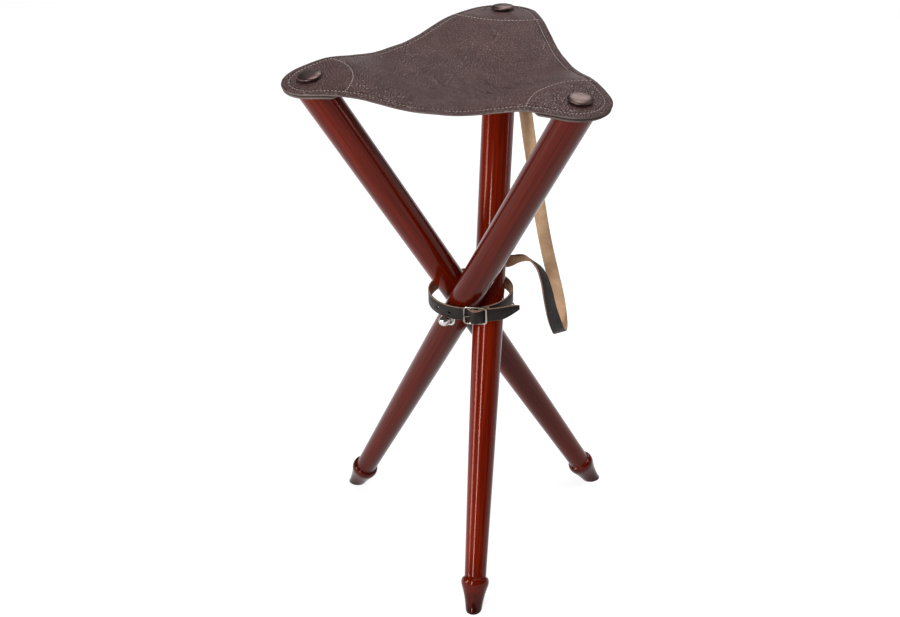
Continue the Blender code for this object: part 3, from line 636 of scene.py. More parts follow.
hollowOut = edgeOut + hollowRadius
meet = math.atan2(lobeSide, hollowOut - lobeOut * 0.5)
meetTurn = sixthTurn - math.atan2(
    hollowRadius * math.sin(meet), hollowOut - hollowRadius * math.cos(meet)
)
cornerAngles = {side: turn + cornerTurn for side, turn in armTurns.items()}


def outlineReach(turn):
    turn = abs((turn + sixthTurn) % thirdTurn - sixthTurn)
    if turn <= meetTurn:
        return lobeOut * math.cos(turn) + math.sqrt(seat["lobeRadius"] ** 2 - (lobeOut * math.sin(turn)) ** 2)
    rest = sixthTurn - turn
    return hollowOut * math.cos(rest) - math.sqrt(hollowRadius**2 - (hollowOut * math.sin(rest)) ** 2)


def ease(t):
    t = min(max(t, 0.0), 1.0)
    return t * t * (3 - 2 * t)


def cornerPlace(side):
    turn = armTurns[side]
    arm = Vector((math.cos(turn), math.sin(turn)))
    lean = Vector((-math.sin(turn), math.cos(turn)))
    return arm * stool["armOffset"] + lean * above * math.sin(stool["tilt"]), lean, arm


cornerPlaces = {side: cornerPlace(side) for side in armTurns}


def undersideZ(x, y):
    share = math.hypot(x, y) / outlineReach(math.atan2(y, x) - cornerAngles["back"])
    base = studZ + stack - seat["sag"] + (seat["sag"] - seat["edgeSag"]) * ease(share)
    height = base
    for middle, lean, _ in cornerPlaces.values():
        off = Vector((x, y)) - middle
        limit = seat["flat"] * 1.15
        out = max(min(off.dot(lean), limit), -limit)
        flat = studZ + stack / math.cos(stool["topFaceTilt"]) - out * math.tan(stool["topFaceTilt"])
        height += (flat - base) * ease((seat["sagReach"] - off.length) / (seat["sagReach"] - seat["flat"]))
    return height


fineTurns = np.linspace(0.0, thirdTurn, 721)
fineReach = np.array([outlineReach(t) for t in fineTurns])
fineEdge = np.stack([fineReach * np.cos(fineTurns), fineReach * np.sin(fineTurns)], axis=1)
fineRun = np.concatenate([[0.0], np.cumsum(np.linalg.norm(np.diff(fineEdge, axis=0), axis=1))])


def evenTurn(turn):  # spreads the columns evenly along the edge
    part, inside = divmod(turn % math.tau, thirdTurn)
    run = fineRun[-1] * inside / thirdTurn
    return cornerAngles["back"] + part * thirdTurn + float(np.interp(run, fineRun, fineTurns))


def rippleAt(x, y, wave, seed):
    return noise.noise(Vector((x * wave, y * wave, seed)))


def layer(shares, columns, spotOf, heightOf, thickness, ripple, sinkOf=None):
    # a round sheet shaped by spotOf, made solid straight upwards; sinkOf presses its top face in
    bm = bmesh.new()
    points = [bm.verts.new((share, 0, 0)) for share in shares]
    edges = [bm.edges.new(pair) for pair in zip(points, points[1:])]
    bmesh.ops.spin(
        bm, geom=points + edges, axis=(0, 0, 1), cent=(0, 0, 0), angle=math.tau, steps=columns, use_merge=True
    )
    bmesh.ops.remove_doubles(bm, verts=bm.verts, dist=1e-7)
    sink = bm.verts.layers.float.new("sink")
    for v in bm.verts:
        share = math.hypot(v.co.x, v.co.y)
        x, y = spotOf(share, math.atan2(v.co.y, v.co.x))
        v[sink] = sinkOf(share) if sinkOf else 0.0
        v.co = (x, y, heightOf(x, y))
    grown = bmesh.ops.extrude_face_region(bm, geom=bm.faces[:], use_keep_orig=True)
    for v in [g for g in grown["geom"] if isinstance(g, bmesh.types.BMVert)]:
        v.co.z += thickness - v[sink]
        if ripple:
            v.co.z += ripple * rippleAt(v.co.x, v.co.y, *seat["slowWave"])
            v.co.z += ripple * 0.5 * rippleAt(v.co.x, v.co.y, *seat["fineWave"])
    bmesh.ops.recalc_face_normals(bm, faces=bm.faces)
    rim = [e for e in bm.edges if len(e.link_faces) == 2 and e.calc_face_angle() > math.radians(55)]
    bmesh.ops.bevel(
        bm, geom=rim, offset=seat["edgeRound"], affect="EDGES", segments=3, profile=0.5, material=-1
    )
    return bm


def sideOf(x, y):  # which leg's third a spot is in
    angle = math.atan2(y, x) - cornerAngles["back"]
    third = int(((angle + sixthTurn) % math.tau) // thirdTurn)
    return list(armTurns)[third]


def capShare(x, y, side):  # over 0 is beyond the bend line, towards the stud
    middle, lean, _ = cornerPlaces[side]
    return (Vector((x, y)) - middle).dot(lean) + seat["capLine"]


def splitLayer(bm, looks, lookOf, name, sides):
    # cuts a layer at the bend lines and between the legs' thirds, keeping the whole layer's smooth shading
    for side in sides:
        middle, lean, _ = cornerPlaces[side]
        point = middle - lean * seat["capLine"]
        bmesh.ops.bisect_plane(
            bm,
            geom=bm.verts[:] + bm.edges[:] + bm.faces[:],
            plane_co=(point.x, point.y, 0),
            plane_no=(lean.x, lean.y, 0),
            dist=1e-5,
        )
    for face in bm.faces:
        face.material_index = lookOf(face)
    whole = finished(name, bm, looks, 50)
    normals = np.array([n.vector for n in whole.data.corner_normals], dtype=np.float32)
    kept = whole.data.attributes.new("wholeNormal", "FLOAT_VECTOR", "CORNER")
    kept.data.foreach_set("vector", normals.ravel())
    parts = {}
    for side in sides:
        for kind in ("cap", "petal"):
            part = bmesh.new()
            part.from_mesh(whole.data)
            away = []
            for face in part.faces:
                spot = face.calc_center_median()
                inCap = capShare(spot.x, spot.y, side) > 0
                inSide = len(sides) == 1 or sideOf(spot.x, spot.y) == side
                if not inSide or inCap != (kind == "cap"):
                    away.append(face)
            bmesh.ops.delete(part, geom=away, context="FACES")
            closeCut(part)
            made = finished(name + "_" + kind + "_" + side, part, looks, 50)
            held = made.data.attributes["wholeNormal"]
            vectors = np.zeros(len(made.data.loops) * 3, dtype=np.float32)
            held.data.foreach_get("vector", vectors)
            made.data.normals_split_custom_set(vectors.reshape(-1, 3).tolist())
            made.data.attributes.remove(made.data.attributes["wholeNormal"])
            made.data.transform(Matrix.Translation(hubAt))
            parts[kind, side] = made
    bpy.data.objects.remove(whole)
    return parts


def closeCut(bm):  # walls between the upper and lower cut lines
    kept = bm.loops.layers.float_vector["wholeNormal"]
    before = set(bm.faces)
    bmesh.ops.holes_fill(bm, edges=[e for e in bm.edges if e.is_boundary], sides=0)
    added = [f for f in bm.faces if f not in before]
    bmesh.ops.triangulate(bm, faces=added)
    for face in bm.faces:
        if face not in before:
            for corner in face.loops:
                corner[kept] = (0, 0, 0)
            face.material_index = 1


edgeRings = [mm / 1000 for mm in seat["edgeRings"]]
ringCount = seat["innerRings"] + len(edgeRings) - 1
shares = [k / ringCount for k in range(ringCount + 1)]


def edgeSpot(at, inset):  # a spot in from the outline, square to it
    def rim(turn):
        reach = outlineReach(turn - cornerAngles["back"])
        return Vector((reach * math.cos(turn), reach * math.sin(turn)))

    way = (rim(at + 0.004) - rim(at - 0.004)).normalized()
    return rim(at) + Vector((-way.y, way.x)) * inset


def ringInset(share):  # None inside the last edge ring
    step = ringCount - round(share * ringCount)
    return edgeRings[step] if step < len(edgeRings) else None


def panelSpot(share, turn):
    at = evenTurn(turn)
    inset = ringInset(share)
    if inset is None:
        spot = edgeSpot(at, edgeRings[-1]) * (share * ringCount / seat["innerRings"])
    else:
        spot = edgeSpot(at, inset)
    return spot.x, spot.y


def panelSink(share):  # the stitched line is pulled in, and the lip rolls over
    inset = ringInset(share)
    if inset is None:
        return 0.0
    groove = math.exp(-(((inset - stitch["fromEdge"]) / seat["grooveWidth"]) ** 2))
    return seat["grooveDepth"] * groove + seat["lipDrop"] * ease(1 - inset / seat["lipWidth"])


def panelLook(face):  # 0 grain, 1 cut edge, 2 underside
    if face.normal.z > 0.6:
        return 0
    return 2 if face.normal.z < -0.6 else 1


panel = layer(shares, seat["columns"], panelSpot, undersideZ, seat["thickness"], seat["ripple"], panelSink)
panelParts = splitLayer(panel, [seatHide, seatCut, seatFlesh], panelLook, "seat", list(armTurns))
print("seat panel cut into", len(panelParts), "parts")

patchParts = {}
for side in armTurns:
    middle = cornerPlaces[side][0]

    def patchReach(turn, middle=middle):
        way = Vector((math.cos(turn), math.sin(turn)))
        low, high = 0.0, seat["patchReach"]
        for _ in range(26):
            half = (low + high) / 2
            spot = middle + way * (half + seat["patchInset"])
            if spot.length < outlineReach(math.atan2(spot.y, spot.x) - cornerAngles["back"]):
                low = half
            else:
                high = half
        return low

    def patchSpot(share, turn, middle=middle):
        reach = share * patchReach(turn)
        return middle.x + reach * math.cos(turn), middle.y + reach * math.sin(turn)

    def patchHeight(x, y, middle=middle):
        out = (Vector((x, y)) - middle).length
        hang = seat["patchHang"] * ease((out - seat["patchHangFrom"]) / seat["patchHangRun"])
        return undersideZ(x, y) - stool["fitGap"] * 1.02 - hang - seat["patchThickness"]

    rings = [k / seat["patchRings"] for k in range(seat["patchRings"] + 1)]
    patch = layer(rings, seat["patchColumns"], patchSpot, patchHeight, seat["patchThickness"], 0)
    for key, part in splitLayer(patch, [seatFlesh, seatCut, seatHide], panelLook, "patch", [side]).items():
        patchParts[key] = part
print("corner patches cut")

# stitches sit in the pulled-in line round the edge, and in an arc across each corner


def seatTop(x, y):
    return undersideZ(x, y) + seat["thickness"]


def evenly(line, pitch, closed):
    line = np.array(line)
    if closed:
        line = np.vstack([line, line[:1]])
    run = np.concatenate([[0.0], np.cumsum(np.linalg.norm(np.diff(line, axis=0), axis=1))])
    count = int(run[-1] / pitch)
    at = np.linspace(0, run[-1], count + 1)[: count if closed else count + 1]
    return np.stack([np.interp(at, run, line[:, 0]), np.interp(at, run, line[:, 1])], axis=1)


def edgeLine(inset):
    ring = []
    count = stitch["edgeSteps"]
    for k in range(count):
        turn = cornerAngles["back"] + math.tau * k / count
        here = outlineReach(turn - cornerAngles["back"])
        ring.append(Vector((here * math.cos(turn), here * math.sin(turn))))
    line = []
    for k, spot in enumerate(ring):
        way = (ring[(k + 1) % count] - ring[k - 1]).normalized()
        line.append(spot + Vector((-way.y, way.x)) * inset)
    return line


def cornerArc(side):
    middle = cornerPlaces[side][0]
    line = []
    outward = Vector((math.cos(cornerAngles[side]), math.sin(cornerAngles[side])))
    centre = middle + outward * (stitch["arcRadius"] - stitch["arcIn"])
    for k in range(241):
        turn = cornerAngles[side] + math.radians(180 - 60 + k * 0.5)
        spot = centre + Vector((math.cos(turn), math.sin(turn))) * stitch["arcRadius"]
        reach = outlineReach(math.atan2(spot.y, spot.x) - cornerAngles["back"])
        if spot.length < reach - stitch["fromEdge"] * 1.15:
            line.append(spot)
    return line


stitchMeshes = {}
runs = [(evenly(edgeLine(stitch["fromEdge"]), stitch["pitch"], True), True)]
runs += [(evenly(cornerArc(side), stitch["pitch"], False), False) for side in armTurns]
for spots, closed in runs:
    sunk = seat["grooveDepth"] * 0.92 if closed else 0.0
    for k, spot in enumerate(spots):
        after = spots[(k + 1) % len(spots)] if closed else spots[min(k + 1, len(spots) - 1)]
        before = spots[k - 1] if closed else spots[max(k - 1, 0)]
        way = Vector((after[0] - before[0], after[1] - before[1], 0))
        slope = way.normalized() * stitch["slopeStep"]
        ahead = seatTop(spot[0] + slope.x, spot[1] + slope.y)
        behind = seatTop(spot[0] - slope.x, spot[1] - slope.y)
        way = Vector((slope.x * 2, slope.y * 2, ahead - behind))
        toLeft = seatTop(spot[0] - slope.y, spot[1] + slope.x)
        toRight = seatTop(spot[0] + slope.y, spot[1] - slope.x)
        sideways = Vector((-slope.y, slope.x, (toLeft - toRight) / 2))
        way.normalize()
        up = way.cross(sideways.normalized()).normalized()
        turned = Matrix((way, up.cross(way), up)).transposed().to_4x4()
        ripple = seat["ripple"] * rippleAt(spot[0], spot[1], *seat["slowWave"])
        lift = Vector((spot[0], spot[1], seatTop(spot[0], spot[1]) + ripple - sunk + stitch["height"] * 0.22))
        size = Matrix.Diagonal((stitch["length"] / 2, stitch["width"] / 2, stitch["height"] / 2, 1))
        side = sideOf(spot[0], spot[1])
        kind = "cap" if capShare(spot[0], spot[1], side) > 0 else "petal"
        bm = stitchMeshes.setdefault((kind, side), bmesh.new())
        place = Matrix.Translation(hubAt + lift) @ turned @ size
        bmesh.ops.create_uvsphere(bm, u_segments=8, v_segments=5, radius=1.0, matrix=place)
stitchParts = {
    key: finished("stitches_" + key[0] + "_" + key[1], bm, [thread], 60) for key, bm in stitchMeshes.items()
}
print("stitches sewn")

# leather follows the legs: caps ride on the leg tops, petals on the corner bodies
for parts in (panelParts, patchParts, stitchParts):
    for (kind, side), piece in parts.items():
        middle, lean, arm = cornerPlaces[side]
        along, outwards, up = seat[kind + "Fold"]
        way = Vector((arm.x * along + lean.x * outwards, arm.y * along + lean.y * outwards, up))
        if kind == "cap":
            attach(piece, "leg_" + side)
        else:
            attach(piece, "corner_" + side)
        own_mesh(piece)
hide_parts("seat_panel")
for side in armTurns:
    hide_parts("corner_patch_" + side)
print("seat rides on the legs")

# studs
stud = {"radius": 0.0134, "height": 0.0062, "shank": 0.0030, "shankLength": 0.0340}
headLow = stack + seat["thickness"] + stool["fitGap"]
headRun = smoothRun(
    [
        (0.0, headLow + stud["height"]),
        (stud["radius"] * 0.50, headLow + stud["height"] * 0.96),
        (stud["radius"] * 0.80, headLow + stud["height"] * 0.84),
        (stud["radius"] * 0.95, headLow + stud["height"] * 0.66),
        (stud["radius"], headLow + stud["height"] * 0.46),
        (stud["radius"] * 0.95, headLow + stud["height"] * 0.26),
        (stud["radius"] * 0.72, headLow + stud["height"] * 0.10),
        (stud["radius"] * 0.66, headLow),
    ],
    4,
)
studProfile = [tuple(p) for p in headRun]
studProfile += [
    (stud["shank"], headLow),
    (stud["shank"], -stud["shankLength"] + stud["shank"]),
    (0, -stud["shankLength"]),
]
for side in armTurns:
    piece = finished("mushroom_stud_" + side, spunBmesh(studProfile, 56), [darkBronze], 45)
    piece.data.transform(topPlace(side))
    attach(piece, "leg_" + side)
    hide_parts("stud_" + side)
print("studs driven")


# strips of leather: a rounded section carried along a line of places

def strip(name, places, thickness, looks, corner=0.0004):
    # each place is (middle, width way, outward way, low reach, high reach)
    half = thickness / 2
    bm = bmesh.new()
    order = bm.verts.layers.int.new("order")

    def spotsAt(place):
        middle, wide, out, low, high = place
        section = [
            (low, -half + corner),
            (low + corner, -half),
            (high - corner, -half),
            (high, -half + corner),
            (high, half - corner),
            (high - corner, half),
            (low + corner, half),
            (low, half - corner),
        ]
        return [middle + wide * w + out * h for w, h in section]

    ring = [bm.verts.new(spot) for spot in spotsAt(places[0])]
    for k, v in enumerate(ring):
        v[order] = k
    edges = [bm.edges.new((ring[k], ring[(k + 1) % 8])) for k in range(8)]
    for place in places[1:]:
        fresh, edges = growRing(bm, edges)
        spots = spotsAt(place)
        for v in fresh:
            v.co = spots[v[order]]
    bmesh.ops.holes_fill(bm, edges=[e for e in bm.edges if e.is_boundary], sides=0)
    for face in bm.faces:
        steps = {v[order] for v in face.verts}
        if steps == {1, 2}:
            face.material_index = 1  # inner, flesh
        elif steps == {5, 6}:
            face.material_index = 0  # outer, grain
        else:
            face.material_index = 2  # cut edge
    bmesh.ops.recalc_face_normals(bm, faces=bm.faces)
    return finished(name, bm, looks, 50)


# belt round the crossing
belt = {
    "ring": 0.0474,
    "thickness": 0.0022,
    "width": 0.0160,
    "aboveNut": 0.0004,
    "shift": (0.0020, -0.0004),
    "turn": math.radians(-77.0),
    "wire": 0.00125,
    "halfLength": 0.0120,
    "sideRoom": 0.0008,
    "lean": math.radians(14.0),
    "barOut": 0.0040,
    "frameCorner": 0.0030,
    "prong": 0.0009,
    "pinPast": 0.0016,  # the pin reaches past the bar it rests on
    "pinRoom": 0.0012,
    "eye": 0.0029,
    "eyeWidth": 0.0036,
    "hole": 0.0020,
    "spareHoles": (-0.0290, -0.0465),
    "rivetAlong": 0.0115,
    "rivetShank": 0.0013,
    "rivetHead": 0.0022,
}
gap, thick, bar = stool["fitGap"], belt["thickness"], belt["barOut"]
beltMiddle = domeRadius + belt["aboveNut"] + belt["width"] / 2
buckleAt = Vector(
    (
        belt["shift"][0] + math.cos(belt["turn"]) * belt["ring"],
        belt["shift"][1] + math.sin(belt["turn"]) * belt["ring"],
        beltMiddle,
    )
)
bucklePlace = Matrix.Translation(hubAt + buckleAt) @ Matrix.Rotation(belt["turn"] + math.radians(90), 4, "Z")
turnOfLayer = thick + gap
hug = belt["wire"] + gap + thick / 2
over = hug + turnOfLayer


def ringPoint(along):
    turn = along / belt["ring"]
    return (belt["ring"] * math.sin(turn), belt["ring"] * (math.cos(turn) - 1))


def ringFacing(along):  # on the belt's ring, +Z straight out of it
    spot = ringPoint(along)
    turned = Matrix.Rotation(along / belt["ring"], 4, "Z") @ Matrix.Rotation(math.radians(90), 4, "X")
    return Matrix.Translation((spot[0], -spot[1], 0)) @ turned


def roundBar(reach, degrees):  # places round the buckle's middle bar
    return [(-reach * math.sin(math.radians(a)), bar + reach * math.cos(math.radians(a))) for a in degrees]


foldBack = [
    (0.0160, ringPoint(0.0160)[1] + turnOfLayer + 0.0002),
    (0.0115, ringPoint(0.0115)[1] + turnOfLayer + 0.0002),
    (0.0085, ringPoint(0.0085)[1] + turnOfLayer + 0.0004),
    (0.0055, bar + 0.0002),
    (0.0026, bar + hug * 0.88),
]
loopRun = roundBar(hug, range(0, 181, 22))
startRun = [(0.0030, bar - hug * 0.98), (0.0070, (bar - hug + ringPoint(0.0140)[1]) / 2)]
ringRun = [ringPoint(a) for a in np.linspace(0.0140, math.tau * belt["ring"] - 0.0180, 46)]
overBar = roundBar(over, (78, 52, 26, 0))
leanSlope = math.tan(belt["lean"])
underRight = bar + belt["halfLength"] * leanSlope - hug
billet = [
    (-0.0122, bar - belt["halfLength"] * leanSlope - hug),
    (-0.0078, bar - 0.0032),
    *overBar,
    (0.0036, bar + over * 0.90),
    (0.0080, (bar + over * 0.55 + underRight) / 2 + 0.0004),
    (belt["halfLength"], underRight),
    (0.0170, underRight - 0.0003),
    (0.0260, underRight - 0.0010),
    (0.0370, underRight - 0.0032),
    (0.0505, underRight - 0.0068),
]
beltRun = smoothRun(foldBack + loopRun + startRun + ringRun + billet, 4)
travel = np.concatenate([[0.0], np.cumsum(np.linalg.norm(np.diff(beltRun, axis=0), axis=1))])
fromTip = travel[-1] - travel
lowReach = -belt["width"] / 2 + 0.55 * belt["width"] * np.clip(1 - fromTip / 0.022, 0, 1) ** 1.4
highReach = belt["width"] / 2 - 0.10 * belt["width"] * np.clip(1 - fromTip / 0.010, 0, 1) ** 1.4
ways = np.gradient(beltRun, axis=0)
ways /= np.linalg.norm(ways, axis=1)[:, None]
beltPlaces = []
for spot, way, low, high in zip(beltRun, ways, lowReach, highReach):
    middle = Vector((spot[0], -spot[1], 0))
    out = Vector((-way[1], -way[0], 0))
    beltPlaces.append((middle, Vector((0, 0, 1)), out, low, high))
beltPiece = strip("buckled_belt", beltPlaces, thick, [strapHide, strapFlesh, strapCut])
leftOut = bar - belt["halfLength"] * leanSlope
restOut = leftOut + belt["wire"] + gap + belt["prong"]
pinDip = math.atan2(bar - restOut, belt["halfLength"])
prongPlace = Matrix.Translation((0, -bar, 0)) @ Matrix.Rotation(pinDip, 4, "Z")
holes = [
    barrel(hug + thick / 2 + 0.0001, -0.0025, 0.0025, Matrix.Translation((0, -bar, 0))),
    barrel(
        belt["prong"] + belt["pinRoom"],
        -0.0092,
        -hug - thick / 2 + 0.0008,
        prongPlace @ Matrix.Translation((0, -0.0003, 0)) @ Matrix.Rotation(math.radians(90), 4, "Y"),
        24,
    ),
]
for along in belt["spareHoles"]:
    holes.append(barrel(belt["hole"], -0.004, 0.004, ringFacing(along), 24))
carve(beltPiece, holes)
beltPiece.data.transform(bucklePlace)
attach(beltPiece, "hub")
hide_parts("leg_belt")
print("belt closed")

# buckle frame, prong and rivet
frameHalf = belt["width"] / 2 + belt["wire"] + belt["sideRoom"]
longHalf = belt["halfLength"] / math.cos(belt["lean"])
frameCorner = belt["frameCorner"]
bm = bmesh.new()
bmesh.ops.create_circle(bm, cap_ends=False, segments=16, radius=belt["wire"])
bmesh.ops.translate(bm, vec=(longHalf, 0, 0), verts=bm.verts)  # section at the right bar
track = []
for right, up, start in ((1, 1, 0), (-1, 1, 90), (-1, -1, 180), (1, -1, 270)):
    for k in range(7):
        a = math.radians(start + 15 * k)
        x = right * (longHalf - frameCorner) + frameCorner * math.cos(a)
        z = up * (frameHalf - frameCorner) + frameCorner * math.sin(a)
        track.append((x, z, a))
section = [(v.co.x - longHalf, v.co.y) for v in bm.verts]
order = bm.verts.layers.int.new("order")
for k, v in enumerate(bm.verts):
    v[order] = k
firstEdges = bm.edges[:]
edges = firstEdges
for step, (x, z, a) in enumerate(track):
    if step:
        fresh, edges = growRing(bm, edges)
    else:
        fresh = set(bm.verts)
    for v in fresh:
        out, across = section[v[order]]
        v.co = (x + out * math.cos(a), across, z + out * math.sin(a))
bmesh.ops.bridge_loops(bm, edges=firstEdges + edges)
bmesh.ops.recalc_face_normals(bm, faces=bm.faces)
buckleLean = Matrix.Translation((0, -bar, 0)) @ Matrix.Rotation(-belt["lean"], 4, "Z")
bucklePiece = finished("buckle_wire", bm, [paleBrass], 50)
carve(bucklePiece, [barrel(belt["wire"], -frameHalf, frameHalf, Matrix.Identity(4), 24)], "UNION")
shadeSmooth(bucklePiece.data, 50)
bucklePiece.data.transform(bucklePlace @ buckleLean)
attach(bucklePiece, "hub")
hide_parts("buckle_frame")

pinLength = math.hypot(belt["halfLength"], bar - restOut) + belt["pinPast"]
pin = spunBmesh(
    [
        (0, pinLength),
        (belt["prong"] * 0.7, pinLength - 0.0003),
        (belt["prong"], pinLength - 0.0012),
        (belt["prong"], 0.0018),
        (0, 0.0018),
    ],
    24,
)
bmesh.ops.transform(pin, matrix=Matrix.Rotation(math.radians(-90), 4, "Y"), verts=pin.verts)
eyeBm = barrel(belt["eye"], -belt["eyeWidth"] / 2, belt["eyeWidth"] / 2, Matrix.Identity(4), 40)
roundEdges(eyeBm, 0.0004, math.radians(50), 2)
prongPiece = finished("prong_pin", eyeBm, [paleBrass], 40)
carve(prongPiece, [pin], "UNION")
carve(prongPiece, [barrel(belt["wire"] + gap, -0.01, 0.01, Matrix.Identity(4), 32)])
shadeSmooth(prongPiece.data, 40)
prongPiece.data.transform(bucklePlace @ prongPlace)
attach(prongPiece, "prong")
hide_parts("buckle_prong")

innerFace = -thick / 2 - gap
outerFace = turnOfLayer + 0.0002 + thick / 2 + gap
rivetPiece = finished(
    "fold_rivet",
    spunBmesh(
        [
            (0, outerFace + 0.0004),
            (belt["rivetHead"] * 0.8, outerFace + 0.0004),
            (belt["rivetHead"], outerFace),
            (belt["rivetShank"], outerFace),
            (belt["rivetShank"], innerFace),
            (belt["rivetHead"], innerFace),
            (belt["rivetHead"] * 0.7, innerFace - 0.0009),
            (0, innerFace - 0.0011),
        ],
        32,
    ),
    [paleBrass],
)
rivetPiece.data.transform(bucklePlace @ ringFacing(belt["rivetAlong"]))
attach(rivetPiece, "hub")
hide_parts("belt_rivet")
print("buckle made")

# carrying strap on the back leg, and its screws
strap = {
    "width": 0.0150,
    "thickness": 0.0022,
    "fromTop": 0.0445,
    "lowAt": 0.0520,
    "screwShank": 0.0019,
    "screwHead": 0.0044,
    "headHeight": 0.0026,
    "screwLength": 0.0200,
    "driverSlot": (0.0009, 0.0018),  # wide, deep on both sides of the head's top
    "slotTurn": math.radians(35),
    "hanging": [  # places as shares of the leg's upper length, and the way the width lies
        ((0.122, 0.125, 0.111), (0.30, 0.05, -0.95)),
        ((0.151, 0.114, 0.127), (0.56, 0.40, -0.72)),
        ((0.191, 0.092, 0.142), (0.34, 0.59, -0.74)),
        ((0.231, 0.066, 0.124), (0.20, 0.92, -0.34)),
        ((0.253, 0.057, 0.081), (0.38, 0.92, 0.12)),
        ((0.266, 0.066, 0.015), (0.61, 0.74, 0.27)),
        ((0.276, 0.090, -0.060), (0.71, 0.61, 0.35)),
        ((0.289, 0.126, -0.135), (0.94, 0.30, 0.20)),
        ((0.298, 0.168, -0.187), (1.00, 0.15, 0.30)),
        ((0.301, 0.205, -0.190), (1.00, 0.10, 0.30)),
        ((0.296, 0.235, -0.156), (1.00, 0.10, 0.20)),
        ((0.281, 0.256, -0.078), (1.00, 0.10, 0.12)),
        ((0.235, 0.301, 0.099), (1.00, 0.10, 0.15)),
        ((0.199, 0.349, 0.277), (1.00, 0.10, 0.15)),
        ((0.170, 0.397, 0.436), (1.00, 0.08, 0.15)),
        ((0.138, 0.445, 0.595), (1.00, 0.05, 0.15)),
    ],
}
legWay = Vector((0, math.sin(stool["tilt"]), math.cos(stool["tilt"])))
rearWay = Vector((0, math.cos(stool["tilt"]), -math.sin(stool["tilt"])))
sideWay = Vector((1, 0, 0))


def legRadius(along):
    share = min(max((along - 0.025) / (above - 0.045), 0.0), 1.0)
    return leg["hubRadius"] + share * (leg["topRadius"] - leg["hubRadius"]) + 0.0002


def onBack(along):
    reach = legRadius(along) + gap + strap["thickness"] / 2
    return Vector((stool["armOffset"], 0, 0)) + legWay * along + rearWay * reach


topAt = above - strap["fromTop"]
lowEnd, topEnd = onBack(strap["lowAt"]), onBack(topAt)
tail = strap["width"] * 0.6
stations = [
    (lowEnd - sideWay * tail, -legWay),
    (lowEnd, -legWay),
    (lowEnd + sideWay * tail + rearWay * 0.0005, -legWay),
    *[(Vector(spot) * above, Vector(wide)) for spot, wide in strap["hanging"]],
    (topEnd - legWay * 0.014 + sideWay * 0.007 + rearWay * 0.001, Vector((1.0, 0.0, 0.25))),
    (topEnd, sideWay),
    (topEnd + legWay * tail * 1.2, sideWay),
]
middleRun = smoothRun([tuple(st[0]) for st in stations], 8)
widthRun = smoothRun([tuple(st[1]) for st in stations], 8)
alongRun = np.gradient(middleRun, axis=0)
alongRun /= np.linalg.norm(alongRun, axis=1)[:, None]
widthRun -= alongRun * np.sum(widthRun * alongRun, axis=1)[:, None]
widthRun /= np.linalg.norm(widthRun, axis=1)[:, None]
strapPlaces = []
for spot, way, wide in zip(middleRun, alongRun, widthRun):
    out = Vector(way).cross(Vector(wide)).normalized()
    strapPlaces.append((Vector(spot), Vector(wide), out, -strap["width"] / 2, strap["width"] / 2))
strapPiece = strip("shoulder_strap", strapPlaces, strap["thickness"], [strapHide, strapFlesh, strapCut])
strapPiece.data.transform(Matrix.Translation(hubAt))
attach(strapPiece, "leg_back")
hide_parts("carry_strap")

screwFace = strap["thickness"] / 2 + gap
headLine = smoothRun(
    [
        (0, screwFace + strap["headHeight"]),
        (strap["screwHead"] * 0.55, screwFace + strap["headHeight"] * 0.88),
        (strap["screwHead"] * 0.90, screwFace + strap["headHeight"] * 0.45),
        (strap["screwHead"], screwFace),
    ],
    5,
)
screwProfile = [tuple(p) for p in headLine] + [
    (strap["screwShank"], screwFace),
    (strap["screwShank"], screwFace - strap["screwLength"] + strap["screwShank"]),
    (0, screwFace - strap["screwLength"]),
]
for name, along in (("top", topAt), ("low", strap["lowAt"])):
    piece = finished("screw_" + name, spunBmesh(screwProfile, 36), [darkBronze], 45)
    bm = bmesh.new()  # driver slot
    bmesh.ops.create_cube(bm, size=1.0)
    bmesh.ops.scale(bm, vec=(strap["screwHead"] * 2.2, *strap["driverSlot"]), verts=bm.verts)
    bmesh.ops.translate(bm, vec=(0, 0, screwFace + strap["headHeight"]), verts=bm.verts)
    bmesh.ops.rotate(bm, cent=(0, 0, 0), matrix=Matrix.Rotation(strap["slotTurn"], 3, "Z"), verts=bm.verts)
    carve(piece, [bm])
    reach = legRadius(along) + gap + strap["thickness"] / 2
    piece.data.transform(
        legPlace("back") @ Matrix.Translation((0, reach, along)) @ Matrix.Rotation(math.radians(-90), 4, "X")
    )
    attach(piece, "leg_back")
    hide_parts("strap_screw_" + name)
print("strap hung")

# floor, backdrop light and lamps
studio = {"floorHalf": 30.0, "floorColour": (0.36, 0.36, 0.36), "floorGlow": 0.84, "worldStrength": 0.11}
bm = bmesh.new()
bmesh.ops.create_grid(bm, x_segments=2, y_segments=2, size=studio["floorHalf"])


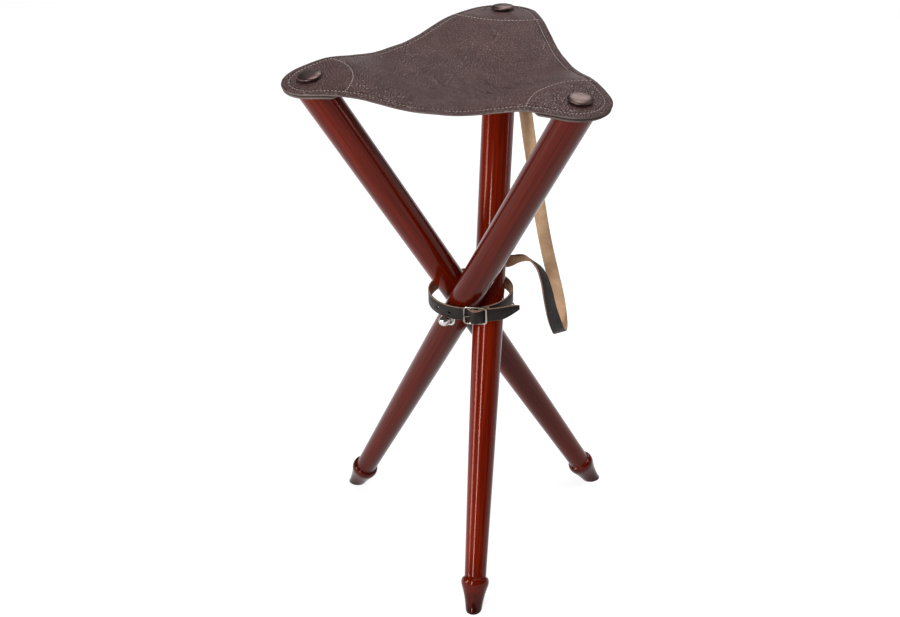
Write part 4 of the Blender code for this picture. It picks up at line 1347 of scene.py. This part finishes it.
def seenDirectly(tree):  # 1 for camera, glossy and transmission rays
    rays = tree.nodes.new("ShaderNodeLightPath")
    first = tree.nodes.new("ShaderNodeMath")
    second = tree.nodes.new("ShaderNodeMath")
    first.operation = second.operation = "MAXIMUM"
    tree.links.new(rays.outputs["Is Camera Ray"], first.inputs[0])
    tree.links.new(rays.outputs["Is Glossy Ray"], first.inputs[1])
    tree.links.new(first.outputs[0], second.inputs[0])
    tree.links.new(rays.outputs["Is Transmission Ray"], second.inputs[1])
    return second


floorMade, floorShader = startMaterial("paleFloor")
floorShader.inputs["Base Color"].default_value = (*studio["floorColour"], 1)
floorShader.inputs["Roughness"].default_value = 0.9
floorShader.inputs["Specular IOR Level"].default_value = 0.0
floorShader.inputs["Emission Color"].default_value = (1, 1, 1, 1)
glow = floorMade.node_tree.nodes.new("ShaderNodeMath")
glow.operation = "MULTIPLY"
glow.inputs[1].default_value = studio["floorGlow"]
floorMade.node_tree.links.new(seenDirectly(floorMade.node_tree).outputs[0], glow.inputs[0])
floorMade.node_tree.links.new(glow.outputs[0], floorShader.inputs["Emission Strength"])
floorPiece = finished("floor", bm, [floorMade])

world = bpy.data.worlds.new("studioWorld")
world.use_nodes = True
scene.world = world
sky = world.node_tree.nodes["Background"]  # from the photo's side the camera sees only the floor
sky.inputs["Color"].default_value = (1, 1, 1, 1)
sky.inputs["Strength"].default_value = studio["worldStrength"]


def lamp(name, place, target, size, watts):
    data = bpy.data.lights.new(name, "AREA")
    data.shape = "RECTANGLE"
    data.size, data.size_y = size
    data.energy = watts
    made = bpy.data.objects.new(name, data)
    made.location = place
    made.rotation_mode = "QUATERNION"
    made.rotation_quaternion = (Vector(target) - Vector(place)).to_track_quat("-Z", "Y")
    scene.collection.objects.link(made)


lamp("topLight", (0.2, 0.1, 2.4), (0, 0, 0.5), (1.0, 1.0), 22)
lamp("backLight", (0.2, 1.7, 1.9), (0, 0, 0.5), (1.2, 0.7), 15)
lamp("leftSoftbox", (-2.0, -0.9, 0.65), (0, 0, 0.35), (0.45, 1.2), 22)
lamp("frontStrip", (-0.75, -2.1, 0.95), (0, 0, 0.3), (0.26, 1.6), 32)
lamp("rightStrip", (1.7, 0.2, 1.2), (0, 0, 0.45), (0.10, 1.6), 4)
print("lights set")
